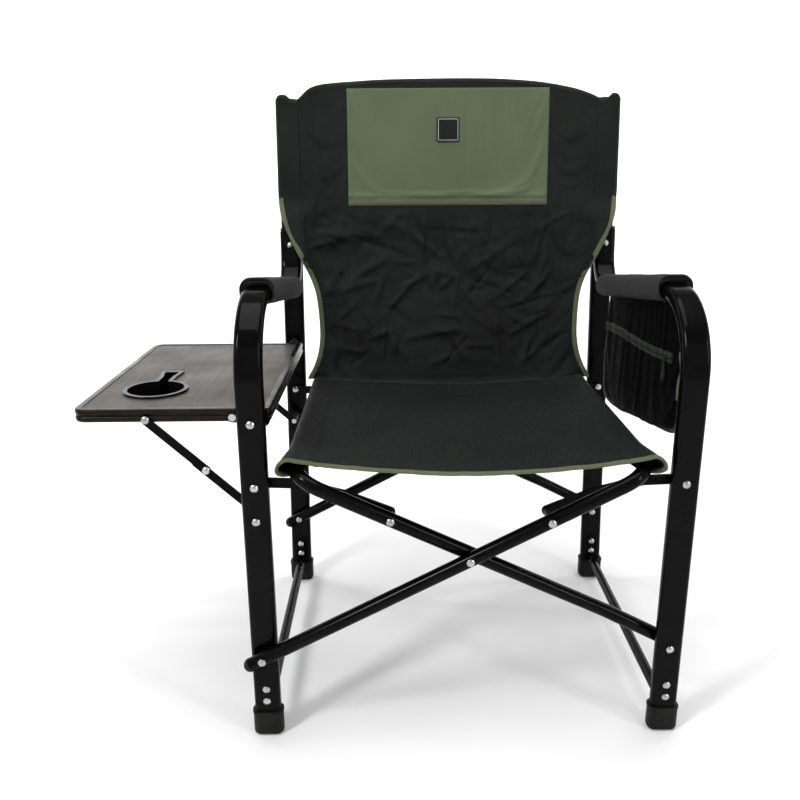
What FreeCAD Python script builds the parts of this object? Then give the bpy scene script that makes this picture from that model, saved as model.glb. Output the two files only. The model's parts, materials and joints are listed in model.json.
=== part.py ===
import FreeCAD, Part
import os
from math import atan, cos, degrees, hypot, radians, sin, tan

# Folding director chair with a drop-leaf side table and a side pouch.
# Units are millimetres. +Z is up, -Y is the front of the chair, and -X is the side with the table.
# The origin is on the floor, midway between the four feet.

V = FreeCAD.Vector
X_AXIS = V(1, 0, 0)
Y_AXIS = V(0, 1, 0)
Z_AXIS = V(0, 0, 1)

# ---------------------------------------------------------------- driving dimensions
# Side frames: one flat-oval tube for the front leg and arm, one for the rear leg and back post.
LEG_X = 292.5             # from the middle of the chair to the middle of a side frame
LEG_Y = 231.0             # from the middle of the chair to the middle of a leg at the floor
TUBE_WIDTH = 38.0         # across the chair
TUBE_DEPTH = 20.0         # front to back
TUBE_CORNER = 8.0
TUBE_WALL = 1.2
TUBE_FOOT_Z = 6.0         # the tube ends inside its rubber foot
POST_LEAN = degrees(atan(0.100))
POST_LENGTH = 925.0       # measured along the leaning post from the floor
ARM_FRONT_Z = 653.0       # where the arm's line meets the front leg's line
ARM_DROP = 0.136          # fall of the arm towards the back, per millimetre
ARM_FRONT_BEND = 100.0
ARM_REAR_BEND = 60.0
ARM_END = 694.0           # top of the arm's rear end, measured along the post
ARM_END_GAP = 0.3         # between the arm's rear end and the post
ARM_RIVET = 667.0         # rivet that joins them, measured along the post

# Rubber feet.
FOOT_HEIGHT = 40.0
FOOT_WALL = 3.0
FOOT_EDGE = 6.0

# Foam sleeves on the arms.
FOAM_WIDTH = 50.0
FOAM_DEPTH = 38.0
FOAM_RISE = 4.0           # the foam is thicker above the tube
FOAM_FRONT_Y = -128.0
FOAM_REAR_Y = 222.0

# Scissor: two U-shaped tubes, A with the right seat rail and B with the left one.
BAR_R = 10.0
BAR_WALL = 1.2
PIVOT_Z = 137.0           # lower pivots, on the legs
CROSS_Z = 290.0           # where the two tubes cross
RAIL_X = 240.5
BAR_END = 20.0            # the tube runs on past its lower pivot
BAR_BEND = 40.0
A_FRONT_Y = -252.5
A_REAR_Y = 222.4
B_FRONT_Y = -209.5        # behind the front leg
B_FRONT_CORNER_Y = -257.7
B_REAR_Y = 275.5          # behind the rear leg
B_REAR_CROSS_Y = 243.6
B_REAR_CORNER_Y = 233.0
B_STRAIGHT = 105.0        # B runs straight up past the leg before it turns inward

# Links from the legs to the scissor.
LINK_Z = 393.0
LINK_BAR_X = 109.0
LINK_HALF = 7.0
LINK_DEPTH = 4.5
LINK_WALL = 2.0
LINK_FRONT_Y = -219.5
LINK_REAR_Y = 251.6

# Rivets.
SHANK_R = 3.0
HEAD_R = 5.5
HEAD_H = 2.4
TAIL_R = 4.4
TAIL_H = 1.2
RUNNING = 0.05            # radial clearance round a rivet that a part turns on

# Side table.
TABLE_OUTER_X = -540.0
TABLE_INNER_X = -270.0
TABLE_FRONT_Y = -206.8
TABLE_BACK_Y = 206.0
TABLE_TOP_Z = 495.6
EDGE_HEIGHT = 18.4
EDGE_WIDTH = 10.0
EDGE_GROOVE = 2.2
TABLE_CORNER = 18.0
TABLE_INNER_CORNER = 5.0
BOARD_THICKNESS = 10.0
BOARD_RECESS = 0.9
CUP_X = -452.0
CUP_Y = -107.0
CUP_R = 40.5
CUP_RIM = 6.5
CUP_RIM_H = 3.0
RIM_SEAT = 0.3             # how deep the rim is let into the board
CUP_DEPTH = 34.0
CUP_WALL = 1.6
HANDLE_SLOT_NECK = 7.0
HANDLE_SLOT_HALF = 10.5
HANDLE_SLOT_END_Y = -12.0
HINGE_Z = 483.0
HINGE_RIVET_X = -322.0
PLATE_THICKNESS = 3.0

# Folding stays under the table, each of two flat bars.
STAY_LEG_Z = 343.0
STAY_TOP_X = -440.0
STAY_TOP_Z = 481.0
STAY_LOWER = 95.5
STAY_HALF = 6.0
STAY_THICKNESS = 2.2
STAY_LAYER = 2.5          # a bar and the gap behind it
STAY_STACK = 0.8          # between the table's edge and the nearest bar

# Stretchers between the feet of a side frame.
STRETCHER_Z = 42.0
STRETCHER_R = 8.0
STRETCHER_WALL = 1.2
STRETCHER_END = 192.0
STRETCHER_PIN_Y = 206.0
BRACKET_RIVETS = (57.0, 77.0)
FOOT_CLEAR_Y = 214.0      # the forks stop here below the plates, clear of the rubber feet

# Fabric and pouch.
CLOTH = 3.0
SEAT_FRONT_Y = -249.0
SEAT_REAR_Y = 207.0
SEAT_SAG = 14.0
SEAT_SLEEVE = 12.8
CLOTH_GAP = 0.35
FLAP_LOW = (210.3, 404.0)     # y and z of the lower edge of the flap behind the seat
BACK_LOW = (214.0, 436.0)     # where the back turns down into the flap
BACK_KNEE = (290.6, 700.0)
BACK_TOP = (318.0, 975.0)
BACK_TOP_Z = 957.0
POUCH_HALF = 13.0
PANEL_WIDTH = 368.0
PANEL_HEIGHT = (735.0, 941.0)
PANEL_THICKNESS = 8.0

LEAN_SLOPE = tan(radians(POST_LEAN))
BAR_SLOPE = (CROSS_Z - PIVOT_Z) / LEG_X
BAR_ANGLE = atan(BAR_SLOPE)
FRONT_FACE_Y = -LEG_Y - TUBE_DEPTH / 2
FRONT_LEG_BACK_Y = -LEG_Y + TUBE_DEPTH / 2


# ---------------------------------------------------------------- small helpers
def rear_face_y(z, side=-1):
    """Where the leaning rear leg's front (-1) or back (+1) face is at height z."""
    half = TUBE_DEPTH / 2 / cos(radians(POST_LEAN))
    return LEG_Y + LEAN_SLOPE * z + side * half


def lean(shape):
    """Tilt a shape that was built on an upright rear leg back with the post."""
    tilted = shape.copy()
    tilted.rotate(V(0, LEG_Y, 0), X_AXIS, -POST_LEAN)
    return tilted


def mirror_x(shape):
    return shape.mirror(V(0, 0, 0), X_AXIS)


def moved(shape, x=0.0, y=0.0, z=0.0):
    copy = shape.copy()
    copy.translate(V(x, y, z))
    return copy


def fuse(shapes):
    return shapes[0].multiFuse(shapes[1:]).removeSplitter()


def group(shapes):
    return Part.makeCompound(shapes)


def box(x0, x1, y0, y1, z0, z1):
    return Part.makeBox(x1 - x0, y1 - y0, z1 - z0, V(x0, y0, z0))


def along_y(x, z, y0, y1, radius):
    return Part.makeCylinder(radius, y1 - y0, V(x, y0, z), Y_AXIS)


def rounded_rectangle(width, depth, radius):
    """Face in the XY plane, centred on the origin."""
    half_w = width / 2 - radius
    half_d = depth / 2 - radius
    centres = [(half_w, half_d, 0), (-half_w, half_d, 90), (-half_w, -half_d, 180), (half_w, -half_d, 270)]
    arcs = []
    for x, y, start in centres:
        arcs.append(Part.makeCircle(radius, V(x, y, 0), Z_AXIS, start, start + 90))
    edges = []
    for n, arc in enumerate(arcs):
        following = arcs[(n + 1) % 4]
        edges.append(arc)
        edges.append(Part.makeLine(arc.lastVertex().Point, following.firstVertex().Point))
    return Part.Face(Part.Wire(Part.__sortEdges__(edges)))


def disc(radius):
    return Part.Face(Part.Wire(Part.makeCircle(radius)))


def polygon_face(points):
    return Part.Face(Part.makePolygon(points + points[:1]))


def placed(section, origin, direction, side):
    """Lay a section from the XY plane across a path, with its X axis along side."""
    face = section.copy()
    turn = FreeCAD.Rotation(side, direction.cross(side), direction, "ZXY")
    face.Placement = FreeCAD.Placement(origin, turn)
    return face


def sweep(section, points, bends, side):
    """Straight runs joined by tangent arcs. bends holds one radius for each inner point."""
    solids = []
    start = points[0]
    for n in range(1, len(points)):
        ahead = (points[n] - points[n - 1]).normalize()
        if n == len(points) - 1:
            run = points[n] - start
            solids.append(placed(section, start, ahead, side).extrude(run))
            break
        after = (points[n + 1] - points[n]).normalize()
        turn = ahead.getAngle(after)
        setback = bends[n - 1] * tan(turn / 2)
        end = points[n] - ahead * setback
        solids.append(placed(section, start, ahead, side).extrude(end - start))
        normal = ahead.cross(after).normalize()
        centre = end + normal.cross(ahead) * bends[n - 1]
        solids.append(placed(section, end, ahead, side).revolve(centre, normal, degrees(turn)))
        side = FreeCAD.Rotation(normal, degrees(turn)).multVec(side)
        start = points[n] + after * setback
    return fuse(solids)


def flat_tube(points, bends, inset=0.0):
    section = rounded_rectangle(TUBE_WIDTH - 2 * inset, TUBE_DEPTH - 2 * inset, TUBE_CORNER - inset)
    return sweep(section, points, bends, X_AXIS)


def rivet(x, z, y_head, y_tail, tail=True, radius=SHANK_R):
    """Rivet turned from one profile: a domed head that starts at y_head, a shank, and a clenched tail at y_tail."""
    facing = -1 if y_head < y_tail else 1
    dome = (HEAD_R ** 2 + HEAD_H ** 2) / (2 * HEAD_H)
    lift = dome * (1 - cos(0.5 * atan(HEAD_R / (dome - HEAD_H))))
    reach = dome * sin(0.5 * atan(HEAD_R / (dome - HEAD_H)))

    def at(r, y):
        return V(x + r, y, z)

    tip = y_head + facing * HEAD_H
    corners = [at(HEAD_R, y_head), at(radius, y_head), at(radius, y_tail)]
    if tail:
        corners += [at(TAIL_R, y_tail), at(TAIL_R, y_tail - facing * TAIL_H), at(0, y_tail - facing * TAIL_H)]
    else:
        corners.append(at(0, y_tail))
    corners.append(at(0, tip))
    edges = [Part.Arc(at(0, tip), at(reach, tip - facing * lift), at(HEAD_R, y_head)).toShape()]
    edges += [Part.makeLine(start, end) for start, end in zip(corners[:-1], corners[1:])]
    return Part.Face(Part.Wire(edges)).revolve(V(x, 0, z), Y_AXIS, 360)


def washer(x, z, y0, y1, radius, bore=SHANK_R):
    return along_y(x, z, y0, y1, radius).cut(along_y(x, z, y0 - 1, y1 + 1, bore))


def strip(points, half, y0, y1):
    """Flat bar in a plane across Y: straight runs with round joints and ends."""
    pieces = [along_y(x, z, y0, y1, half) for x, z in points]
    for (xa, za), (xb, zb) in zip(points[:-1], points[1:]):
        length = hypot(xb - xa, zb - za)
        rise = V((xb - xa) / length, 0, (zb - za) / length)
        across = V(-rise.z, 0, rise.x) * half
        a = V(xa, y0, za)
        b = V(xb, y0, zb)
        pieces.append(polygon_face([a + across, a - across, b - across, b + across]).extrude(V(0, y1 - y0, 0)))
    return fuse(pieces)


def biggest(shape):
    return max(shape.Solids, key=lambda solid: solid.Volume)


# ---------------------------------------------------------------- side frames
def front_leg_path():
    post_line = LEG_Y - (TUBE_DEPTH + ARM_END_GAP) / cos(radians(POST_LEAN))
    corner_z = (ARM_FRONT_Z - ARM_DROP * (post_line + LEG_Y)) / (1 + ARM_DROP * LEAN_SLOPE)
    end_z = ARM_END * cos(radians(POST_LEAN))
    return [
        V(0, -LEG_Y, TUBE_FOOT_Z),
        V(0, -LEG_Y, ARM_FRONT_Z),
        V(0, post_line + LEAN_SLOPE * corner_z, corner_z),
        V(0, post_line + LEAN_SLOPE * end_z, end_z),
    ]


def front_leg_solid(inset=0.0):
    return moved(flat_tube(front_leg_path(), [ARM_FRONT_BEND, ARM_REAR_BEND], inset), x=-LEG_X)


def rear_leg_solid(inset=0.0):
    ends = [V(0, LEG_Y, TUBE_FOOT_Z), V(0, LEG_Y, POST_LENGTH)]
    return lean(moved(flat_tube(ends, [], inset), x=-LEG_X))


def arm_centre_z(y):
    return ARM_FRONT_Z - ARM_DROP * (y + LEG_Y)


def foam_sleeve():
    outer = rounded_rectangle(FOAM_WIDTH, FOAM_DEPTH, 16)
    ends = [V(-LEG_X, y, arm_centre_z(y) + FOAM_RISE) for y in (FOAM_FRONT_Y, FOAM_REAR_Y)]
    return sweep(outer, ends, [], X_AXIS).cut(front_leg_solid())


def front_foot(leg):
    cup = rounded_rectangle(TUBE_WIDTH + 2 * FOOT_WALL, TUBE_DEPTH + 2 * FOOT_WALL, TUBE_CORNER + FOOT_WALL)
    solid = cup.extrude(V(0, 0, FOOT_HEIGHT))
    solid = solid.makeFillet(FOOT_EDGE, [e for e in solid.Edges if e.BoundBox.ZMax < 0.01])
    lip = cup.copy()
    lip.scale(1.035)
    rim = moved(lip.extrude(V(0, 0, 3)), z=FOOT_HEIGHT - 4)
    return moved(fuse([solid, rim]), x=-LEG_X, y=-LEG_Y).cut(leg)


def rear_foot(leg):
    depth = TUBE_DEPTH + 2 * FOOT_WALL + LEAN_SLOPE * FOOT_HEIGHT
    cup = rounded_rectangle(TUBE_WIDTH + 2 * FOOT_WALL, depth, TUBE_CORNER + FOOT_WALL)
    solid = cup.extrude(V(0, 0, FOOT_HEIGHT))
    solid = solid.makeFillet(FOOT_EDGE, [e for e in solid.Edges if e.BoundBox.ZMax < 0.01])
    lip = cup.copy()
    lip.scale(1.035)
    rim = moved(lip.extrude(V(0, 0, 3)), z=FOOT_HEIGHT - 4)
    middle = LEG_Y + LEAN_SLOPE * FOOT_HEIGHT / 2
    return moved(fuse([solid, rim]), x=-LEG_X, y=middle).cut(leg)


def end_plugs():
    """Plugs in the top of the post and in the arm's rear end."""
    cap = rounded_rectangle(TUBE_WIDTH, TUBE_DEPTH, TUBE_CORNER)
    stem = rounded_rectangle(TUBE_WIDTH - 2 * TUBE_WALL, TUBE_DEPTH - 2 * TUBE_WALL, TUBE_CORNER - TUBE_WALL)
    plugs = []
    for y, top, height in ((LEG_Y, POST_LENGTH, 2.5), (LEG_Y - TUBE_DEPTH - ARM_END_GAP, ARM_END, 3.0)):
        plug = fuse([cap.extrude(V(0, 0, height)), moved(stem.extrude(V(0, 0, 14)), z=-14)])
        plugs.append(lean(moved(plug, x=-LEG_X, y=y, z=top)))
    return group(plugs)


def fork_ears(y_pin, y_web, y_leg):
    """Two ears either side of a stretcher's tongue, from y_pin to the plate at y_web. Below the plate they reach y_leg."""
    ears = []
    for side in (-1, 1):
        x0, x1 = sorted((-LEG_X + side * 2.4, -LEG_X + side * 4.9))
        for y_end, z0 in ((y_web, STRETCHER_Z - 9), (y_leg, STRETCHER_Z + 1.5)):
            y0, y1 = sorted((y_pin, y_end))
            ears.append(box(x0, x1, y0, y1, z0, STRETCHER_Z + 9))
    return ears


def bracket_plate(y0, y1):
    """Upright plate with a rounded top and two rivet holes."""
    top = strip([(-LEG_X, 54), (-LEG_X, 82)], 9.5, y0, y1)
    foot = box(-LEG_X - 9.5, -LEG_X + 9.5, y0, y1, STRETCHER_Z + 1.5, 60)
    plate = fuse([top, foot]).common(box(-LEG_X - 20, -LEG_X + 20, y0 - 1, y1 + 1, STRETCHER_Z + 1.5, 120))
    for z in BRACKET_RIVETS:
        plate = plate.cut(along_y(-LEG_X, z, y0 - 1, y1 + 1, SHANK_R))
    return plate


def stretcher_brackets():
    reach = STRETCHER_PIN_Y - 9
    pin_hole = Part.makeCylinder(SHANK_R, 30, V(-LEG_X - 15, -STRETCHER_PIN_Y, STRETCHER_Z), X_AXIS)
    plate = bracket_plate(FRONT_LEG_BACK_Y, FRONT_LEG_BACK_Y + 2.5)
    ears = fork_ears(-reach, -FOOT_CLEAR_Y, FRONT_LEG_BACK_Y + 0.3)
    front = fuse([plate] + ears).cut(pin_hole)
    pin_hole.translate(V(0, 2 * STRETCHER_PIN_Y, 0))
    face = LEG_Y - TUBE_DEPTH / 2
    plate = lean(bracket_plate(face - 2.5, face))
    ears = fork_ears(reach, FOOT_CLEAR_Y, rear_face_y(STRETCHER_Z) - 0.6)
    rear = fuse([plate] + ears).cut(pin_hole)
    return group([front, rear])


def stretcher():
    """Round tube with a flattened tongue at each end."""
    y = STRETCHER_END
    tube = along_y(-LEG_X, STRETCHER_Z, -y, y, STRETCHER_R)
    tube = tube.cut(along_y(-LEG_X, STRETCHER_Z, -y + 6, y - 6, STRETCHER_R - STRETCHER_WALL))
    pieces = [tube]
    for side in (-1, 1):
        low, high = sorted((side * y, side * STRETCHER_PIN_Y))
        pieces.append(box(-LEG_X - 2.1, -LEG_X + 2.1, low - 2, high + 2, STRETCHER_Z - 7, STRETCHER_Z + 7))
        round_end = Part.makeCylinder(7, 4.2, V(-LEG_X - 2.1, side * STRETCHER_PIN_Y, STRETCHER_Z), X_AXIS)
        pieces.append(round_end)
    solid = fuse(pieces)
    for side in (-1, 1):
        hole = Part.makeCylinder(SHANK_R, 20, V(-LEG_X - 10, side * STRETCHER_PIN_Y, STRETCHER_Z), X_AXIS)
        solid = solid.cut(hole)
    return solid


def stretcher_pins():
    pins = []
    for side in (-1, 1):
        start = V(-LEG_X - 6.4, side * STRETCHER_PIN_Y, STRETCHER_Z)
        shank = Part.makeCylinder(SHANK_R, 12.8, start, X_AXIS)
        heads = [Part.makeCylinder(4.6, 1.4, start, X_AXIS)]
        heads.append(Part.makeCylinder(4.6, 1.4, start + V(11.4, 0, 0), X_AXIS))
        pins.append(fuse([shank] + heads))
    return group(pins)


def frame_holes(table_side):
    """Every rivet hole through one side frame's legs."""
    heights = [PIVOT_Z, LINK_Z] + list(BRACKET_RIVETS)
    if table_side:
        heights += [STAY_LEG_Z, HINGE_Z]
    front = [along_y(-LEG_X, z, FRONT_FACE_Y - 5, FRONT_LEG_BACK_Y + 5, SHANK_R) for z in heights]
    level = [z for z in heights if z not in BRACKET_RIVETS]
    rear = [along_y(-LEG_X, z, rear_face_y(z) - 6, rear_face_y(z, 1) + 6, SHANK_R) for z in level]
    rear += [lean(along_y(-LEG_X, z, LEG_Y - 20, LEG_Y + 20, SHANK_R)) for z in BRACKET_RIVETS]
    arm = lean(along_y(-LEG_X, ARM_RIVET, LEG_Y - 50, LEG_Y + 30, SHANK_R))
    return front, rear, arm


def side_frame_rivets(table_side):
    """Fixed rivets and pivot rivets of one side frame, built on the -X side."""
    x = -LEG_X
    plate_back = FRONT_LEG_BACK_Y + 2.5
    found = [rivet(x, z, FRONT_FACE_Y, plate_back) for z in BRACKET_RIVETS]
    face = LEG_Y - TUBE_DEPTH / 2
    found += [lean(rivet(x, z, face - 2.5, LEG_Y + TUBE_DEPTH / 2)) for z in BRACKET_RIVETS]
    arm_front = LEG_Y - 1.5 * TUBE_DEPTH - ARM_END_GAP
    found.append(lean(rivet(x, ARM_RIVET, arm_front, LEG_Y + TUBE_DEPTH / 2)))
    # Pivots of the links.
    found.append(rivet(x, LINK_Z, FRONT_FACE_Y, LINK_FRONT_Y + LINK_WALL + 0.2))
    found.append(rivet(x, LINK_Z, LINK_REAR_Y - 0.2, rear_face_y(LINK_Z, 1) + 0.6))
    if table_side:
        # Bar A is in front of both legs here.
        found.append(rivet(x, PIVOT_Z, A_FRONT_Y - BAR_R - 0.2, FRONT_LEG_BACK_Y))
        found.append(rivet(x, PIVOT_Z, A_REAR_Y - BAR_R - 0.2, rear_face_y(PIVOT_Z, 1) + 0.6))
        # The table's hinge pins end inside its edge frame, and the stays turn on shorter rivets.
        found.append(rivet(x, HINGE_Z, FRONT_FACE_Y, TABLE_FRONT_Y + 6, tail=False))
        found.append(rivet(x, HINGE_Z, rear_face_y(HINGE_Z, 1) + 0.6, TABLE_BACK_Y - 6, tail=False))
        low_front, low_back = stay_layers(1)[0]
        found.append(rivet(x, STAY_LEG_Z, FRONT_FACE_Y, low_back + 0.2))
        low_front, low_back = stay_layers(-1)[0]
        found.append(rivet(x, STAY_LEG_Z, rear_face_y(STAY_LEG_Z, 1) + 0.6, low_front - 0.2))
    else:
        # Bar B is behind both legs here.
        found.append(rivet(x, PIVOT_Z, FRONT_FACE_Y, B_FRONT_Y + BAR_R + 0.2))
        found.append(rivet(x, PIVOT_Z, rear_face_y(PIVOT_Z) - 0.6, B_REAR_Y + BAR_R + 0.2))
    return group(found)


def pivot_spacers(table_side, rear_leg):
    """Washers and bushes that keep each moving bar clear of its leg."""
    x = -LEG_X
    found = [washer(x, LINK_Z, FRONT_LEG_BACK_Y, LINK_FRONT_Y - 0.2, 6)]
    bush = washer(x, LINK_Z, LINK_REAR_Y + LINK_WALL + 0.2, rear_face_y(LINK_Z) + 3, 4.6)
    found.append(bush.cut(rear_leg))
    if table_side:
        found.append(washer(x, PIVOT_Z, A_FRONT_Y + BAR_R + 0.2, FRONT_FACE_Y, 7))
        found.append(washer(x, PIVOT_Z, A_REAR_Y + BAR_R + 0.2, rear_face_y(PIVOT_Z) + 3, 7).cut(rear_leg))
        found.append(washer(x, HINGE_Z, FRONT_LEG_BACK_Y, TABLE_FRONT_Y - PLATE_THICKNESS - 0.3, 7))
        rear_start = TABLE_BACK_Y + PLATE_THICKNESS + 0.3
        found.append(washer(x, HINGE_Z, rear_start, rear_face_y(HINGE_Z) + 3, 7).cut(rear_leg))
        low_front, low_back = stay_layers(1)[0]
        found.append(washer(x, STAY_LEG_Z, FRONT_LEG_BACK_Y, low_front - 0.2, 5))
        low_front, low_back = stay_layers(-1)[0]
        found.append(washer(x, STAY_LEG_Z, low_back + 0.2, rear_face_y(STAY_LEG_Z) + 3, 5).cut(rear_leg))
    else:
        found.append(washer(x, PIVOT_Z, FRONT_LEG_BACK_Y, B_FRONT_Y - BAR_R - 0.2, 7))
        found.append(washer(x, PIVOT_Z, rear_face_y(PIVOT_Z, 1) - 3, B_REAR_Y - BAR_R - 0.2, 7).cut(rear_leg))
    return group([biggest(piece) for piece in found])


def side_frame(table_side):
    """One side frame, built on the -X side, as {part name: shape}."""
    front_solid = front_leg_solid()
    rear_solid = rear_leg_solid()
    front_leg = front_solid.cut(front_leg_solid(TUBE_WALL))
    rear_leg = rear_solid.cut(rear_leg_solid(TUBE_WALL))
    front_holes, rear_holes, arm_hole = frame_holes(table_side)
    return {
        "front_leg_and_arm": front_leg.cut(front_holes + [arm_hole]),
        "rear_leg_and_post": rear_leg.cut(rear_holes + [arm_hole]),
        "front_foot": front_foot(front_solid),
        "rear_foot": rear_foot(rear_solid),
        "tube_end_plugs": end_plugs(),
        "arm_foam_sleeve": foam_sleeve(),
        "stretcher": stretcher(),
        "stretcher_brackets": stretcher_brackets(),
        "stretcher_pins": stretcher_pins(),
        "frame_rivets": side_frame_rivets(table_side),
        "pivot_spacers": pivot_spacers(table_side, rear_solid),
    }


# ---------------------------------------------------------------- scissor
def bar_point(along, y, side):
    """A point on a bar: along is measured up the slope from its lower pivot. side is -1 for A's foot."""
    x = side * (LEG_X - along * cos(BAR_ANGLE))
    return V(x, y, PIVOT_Z + along * sin(BAR_ANGLE))


CROSS_ALONG = hypot(LEG_X, CROSS_Z - PIVOT_Z)
RAIL_ALONG = (LEG_X + RAIL_X) / cos(BAR_ANGLE)


def frame_a_path():
    return [
        bar_point(-BAR_END, A_FRONT_Y, -1),
        bar_point(RAIL_ALONG, A_FRONT_Y, -1),
        bar_point(RAIL_ALONG, A_REAR_Y, -1),
        bar_point(-BAR_END, A_REAR_Y, -1),
    ], [BAR_BEND, BAR_BEND]


def frame_b_path():
    return [
        bar_point(-BAR_END, B_FRONT_Y, 1),
        bar_point(B_STRAIGHT, B_FRONT_Y, 1),
        bar_point(RAIL_ALONG, B_FRONT_CORNER_Y, 1),
        bar_point(RAIL_ALONG, B_REAR_CORNER_Y, 1),
        bar_point(CROSS_ALONG, B_REAR_CROSS_Y, 1),
        bar_point(B_STRAIGHT, B_REAR_Y, 1),
        bar_point(-BAR_END, B_REAR_Y, 1),
    ], [200.0, BAR_BEND, BAR_BEND, 200.0, 200.0]


def bar_solid(path, radius):
    points, bends = path
    ahead = (points[1] - points[0]).normalize()
    return sweep(disc(radius), points, bends, ahead.cross(Y_AXIS).normalize())


def bar_y(along, front):
    """Where bar B's middle is, front to back, at a distance up the bar."""
    if front:
        slope = (B_FRONT_CORNER_Y - B_FRONT_Y) / (RAIL_ALONG - B_STRAIGHT)
        return B_FRONT_Y + slope * max(0.0, along - B_STRAIGHT)
    slope = (B_REAR_CORNER_Y - B_REAR_CROSS_Y) / (RAIL_ALONG - CROSS_ALONG)
    return B_REAR_CROSS_Y + slope * (along - CROSS_ALONG)


def bar_end_plugs(side, front_y, rear_y):
    """Domed plugs that close a U tube's two open ends."""
    plugs = []
    back = V(side * cos(BAR_ANGLE), 0, -sin(BAR_ANGLE))
    for y in (front_y, rear_y):
        end = bar_point(-BAR_END, y, side)
        ball = Part.makeSphere(BAR_R, end).common(Part.makeCylinder(BAR_R + 1, BAR_R + 1, end, back))
        stem = Part.makeCylinder(BAR_R - BAR_WALL, 10, end - back * 10, back)
        plugs.append(fuse([ball, stem]))
    return group(plugs)


def scissor():
    """Both U tubes with their plugs, rivets and bushes."""
    hole_y = (-320.0, 320.0)
    a_tube = bar_solid(frame_a_path(), BAR_R).cut(bar_solid(frame_a_path(), BAR_R - BAR_WALL))
    b_tube = bar_solid(frame_b_path(), BAR_R).cut(bar_solid(frame_b_path(), BAR_R - BAR_WALL))
    a_tube = a_tube.cut([
        along_y(-LEG_X, PIVOT_Z, *hole_y, SHANK_R + RUNNING),
        along_y(0, CROSS_Z, *hole_y, SHANK_R),
        along_y(LINK_BAR_X, CROSS_Z + BAR_SLOPE * LINK_BAR_X, *hole_y, SHANK_R),
    ])
    b_tube = b_tube.cut([
        along_y(LEG_X, PIVOT_Z, *hole_y, SHANK_R + RUNNING),
        along_y(0, CROSS_Z, *hole_y, SHANK_R + RUNNING),
        along_y(-LINK_BAR_X, CROSS_Z + BAR_SLOPE * LINK_BAR_X, *hole_y, SHANK_R),
    ])
    b_cross_front = bar_y(CROSS_ALONG, True)
    cross = [
        rivet(0, CROSS_Z, A_FRONT_Y - BAR_R, b_cross_front + BAR_R + 0.8),
        rivet(0, CROSS_Z, A_REAR_Y - BAR_R, B_REAR_CROSS_Y + BAR_R + 0.8),
    ]
    link_along = CROSS_ALONG + LINK_BAR_X / cos(BAR_ANGLE)
    link_z = CROSS_Z + BAR_SLOPE * LINK_BAR_X
    a_links = [
        rivet(LINK_BAR_X, link_z, A_FRONT_Y - BAR_R, LINK_FRONT_Y - 0.6, tail=False),
        rivet(LINK_BAR_X, link_z, A_REAR_Y - BAR_R, LINK_REAR_Y - 0.6, tail=False),
    ]
    b_links = []
    b_bushes = []
    for front, stop in ((True, LINK_FRONT_Y - 0.6), (False, LINK_REAR_Y - 0.6)):
        y = bar_y(link_along, front)
        b_links.append(rivet(-LINK_BAR_X, link_z, y - BAR_R - 0.3, stop, tail=False))
        bush = washer(-LINK_BAR_X, link_z, y, stop, 5.5)
        b_bushes.append(biggest(bush.cut(bar_solid(frame_b_path(), BAR_R))))
    a_bushes = [
        washer(LINK_BAR_X, link_z, A_FRONT_Y + BAR_R, LINK_FRONT_Y - 0.6, 5.5),
        washer(LINK_BAR_X, link_z, A_REAR_Y + BAR_R, LINK_REAR_Y - 0.6, 5.5),
    ]
    return {
        "scissor_tube_a": a_tube,
        "scissor_tube_b": b_tube,
        "scissor_a_end_plugs": bar_end_plugs(-1, A_FRONT_Y, A_REAR_Y),
        "scissor_b_end_plugs": bar_end_plugs(1, B_FRONT_Y, B_REAR_Y),
        "crossing_rivets": group(cross),
        "link_rivets_a": group(a_links),
        "link_rivets_b": group(b_links),
        "link_bushes_a": group(a_bushes),
        "link_bushes_b": group(b_bushes),
    }


def link(y0):
    """Pressed channel from the -X leg to bar B, open towards the back."""
    line = [
        (-LEG_X, LINK_Z),
        (-240.0, LINK_Z - 2),
        (-172.0, CROSS_Z + BAR_SLOPE * 172.0 - 7),
        (-LINK_BAR_X, CROSS_Z + BAR_SLOPE * LINK_BAR_X),
    ]
    solid = strip(line, LINK_HALF, y0, y0 + LINK_DEPTH)
    solid = solid.cut(strip(line, LINK_HALF - LINK_WALL, y0 + LINK_WALL, y0 + LINK_DEPTH + 1))
    return solid.cut(along_y(-LEG_X, LINK_Z, y0 - 1, y0 + LINK_DEPTH + 1, SHANK_R + RUNNING))


# ---------------------------------------------------------------- side table
def table_outline(inset):
    """The table's rounded outline as a face at z = 0."""
    x0 = TABLE_OUTER_X + inset
    x1 = TABLE_INNER_X - inset
    y0 = TABLE_FRONT_Y + inset
    y1 = TABLE_BACK_Y - inset
    outer_r = max(TABLE_CORNER - inset, 2.0)
    inner_r = max(TABLE_INNER_CORNER - inset, 1.0)
    corners = [(x1, y1, -1, -1, inner_r, 0), (x0, y1, 1, -1, outer_r, 90),
               (x0, y0, 1, 1, outer_r, 180), (x1, y0, -1, 1, inner_r, 270)]
    arcs = []
    for x, y, sx, sy, radius, start in corners:
        arcs.append(Part.makeCircle(radius, V(x + sx * radius, y + sy * radius, 0), Z_AXIS, start, start + 90))
    edges = []
    for n, arc in enumerate(arcs):
        edges.append(arc)
        edges.append(Part.makeLine(arc.lastVertex().Point, arcs[(n + 1) % 4].firstVertex().Point))
    return Part.Face(Part.Wire(Part.__sortEdges__(edges)))


def bead(z0, height):
    solid = moved(table_outline(0).extrude(V(0, 0, height)), z=z0)
    flat_edges = [e for e in solid.Edges if e.BoundBox.ZLength < 0.01]
    return solid.makeFillet(3.0, flat_edges)


def hinge_pin_holes():
    bore = SHANK_R + RUNNING
    return [
        along_y(-LEG_X, HINGE_Z, TABLE_FRONT_Y - 9, TABLE_FRONT_Y + 7, bore),
        along_y(-LEG_X, HINGE_Z, TABLE_BACK_Y - 7, TABLE_BACK_Y + 9, bore),
    ]


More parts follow.
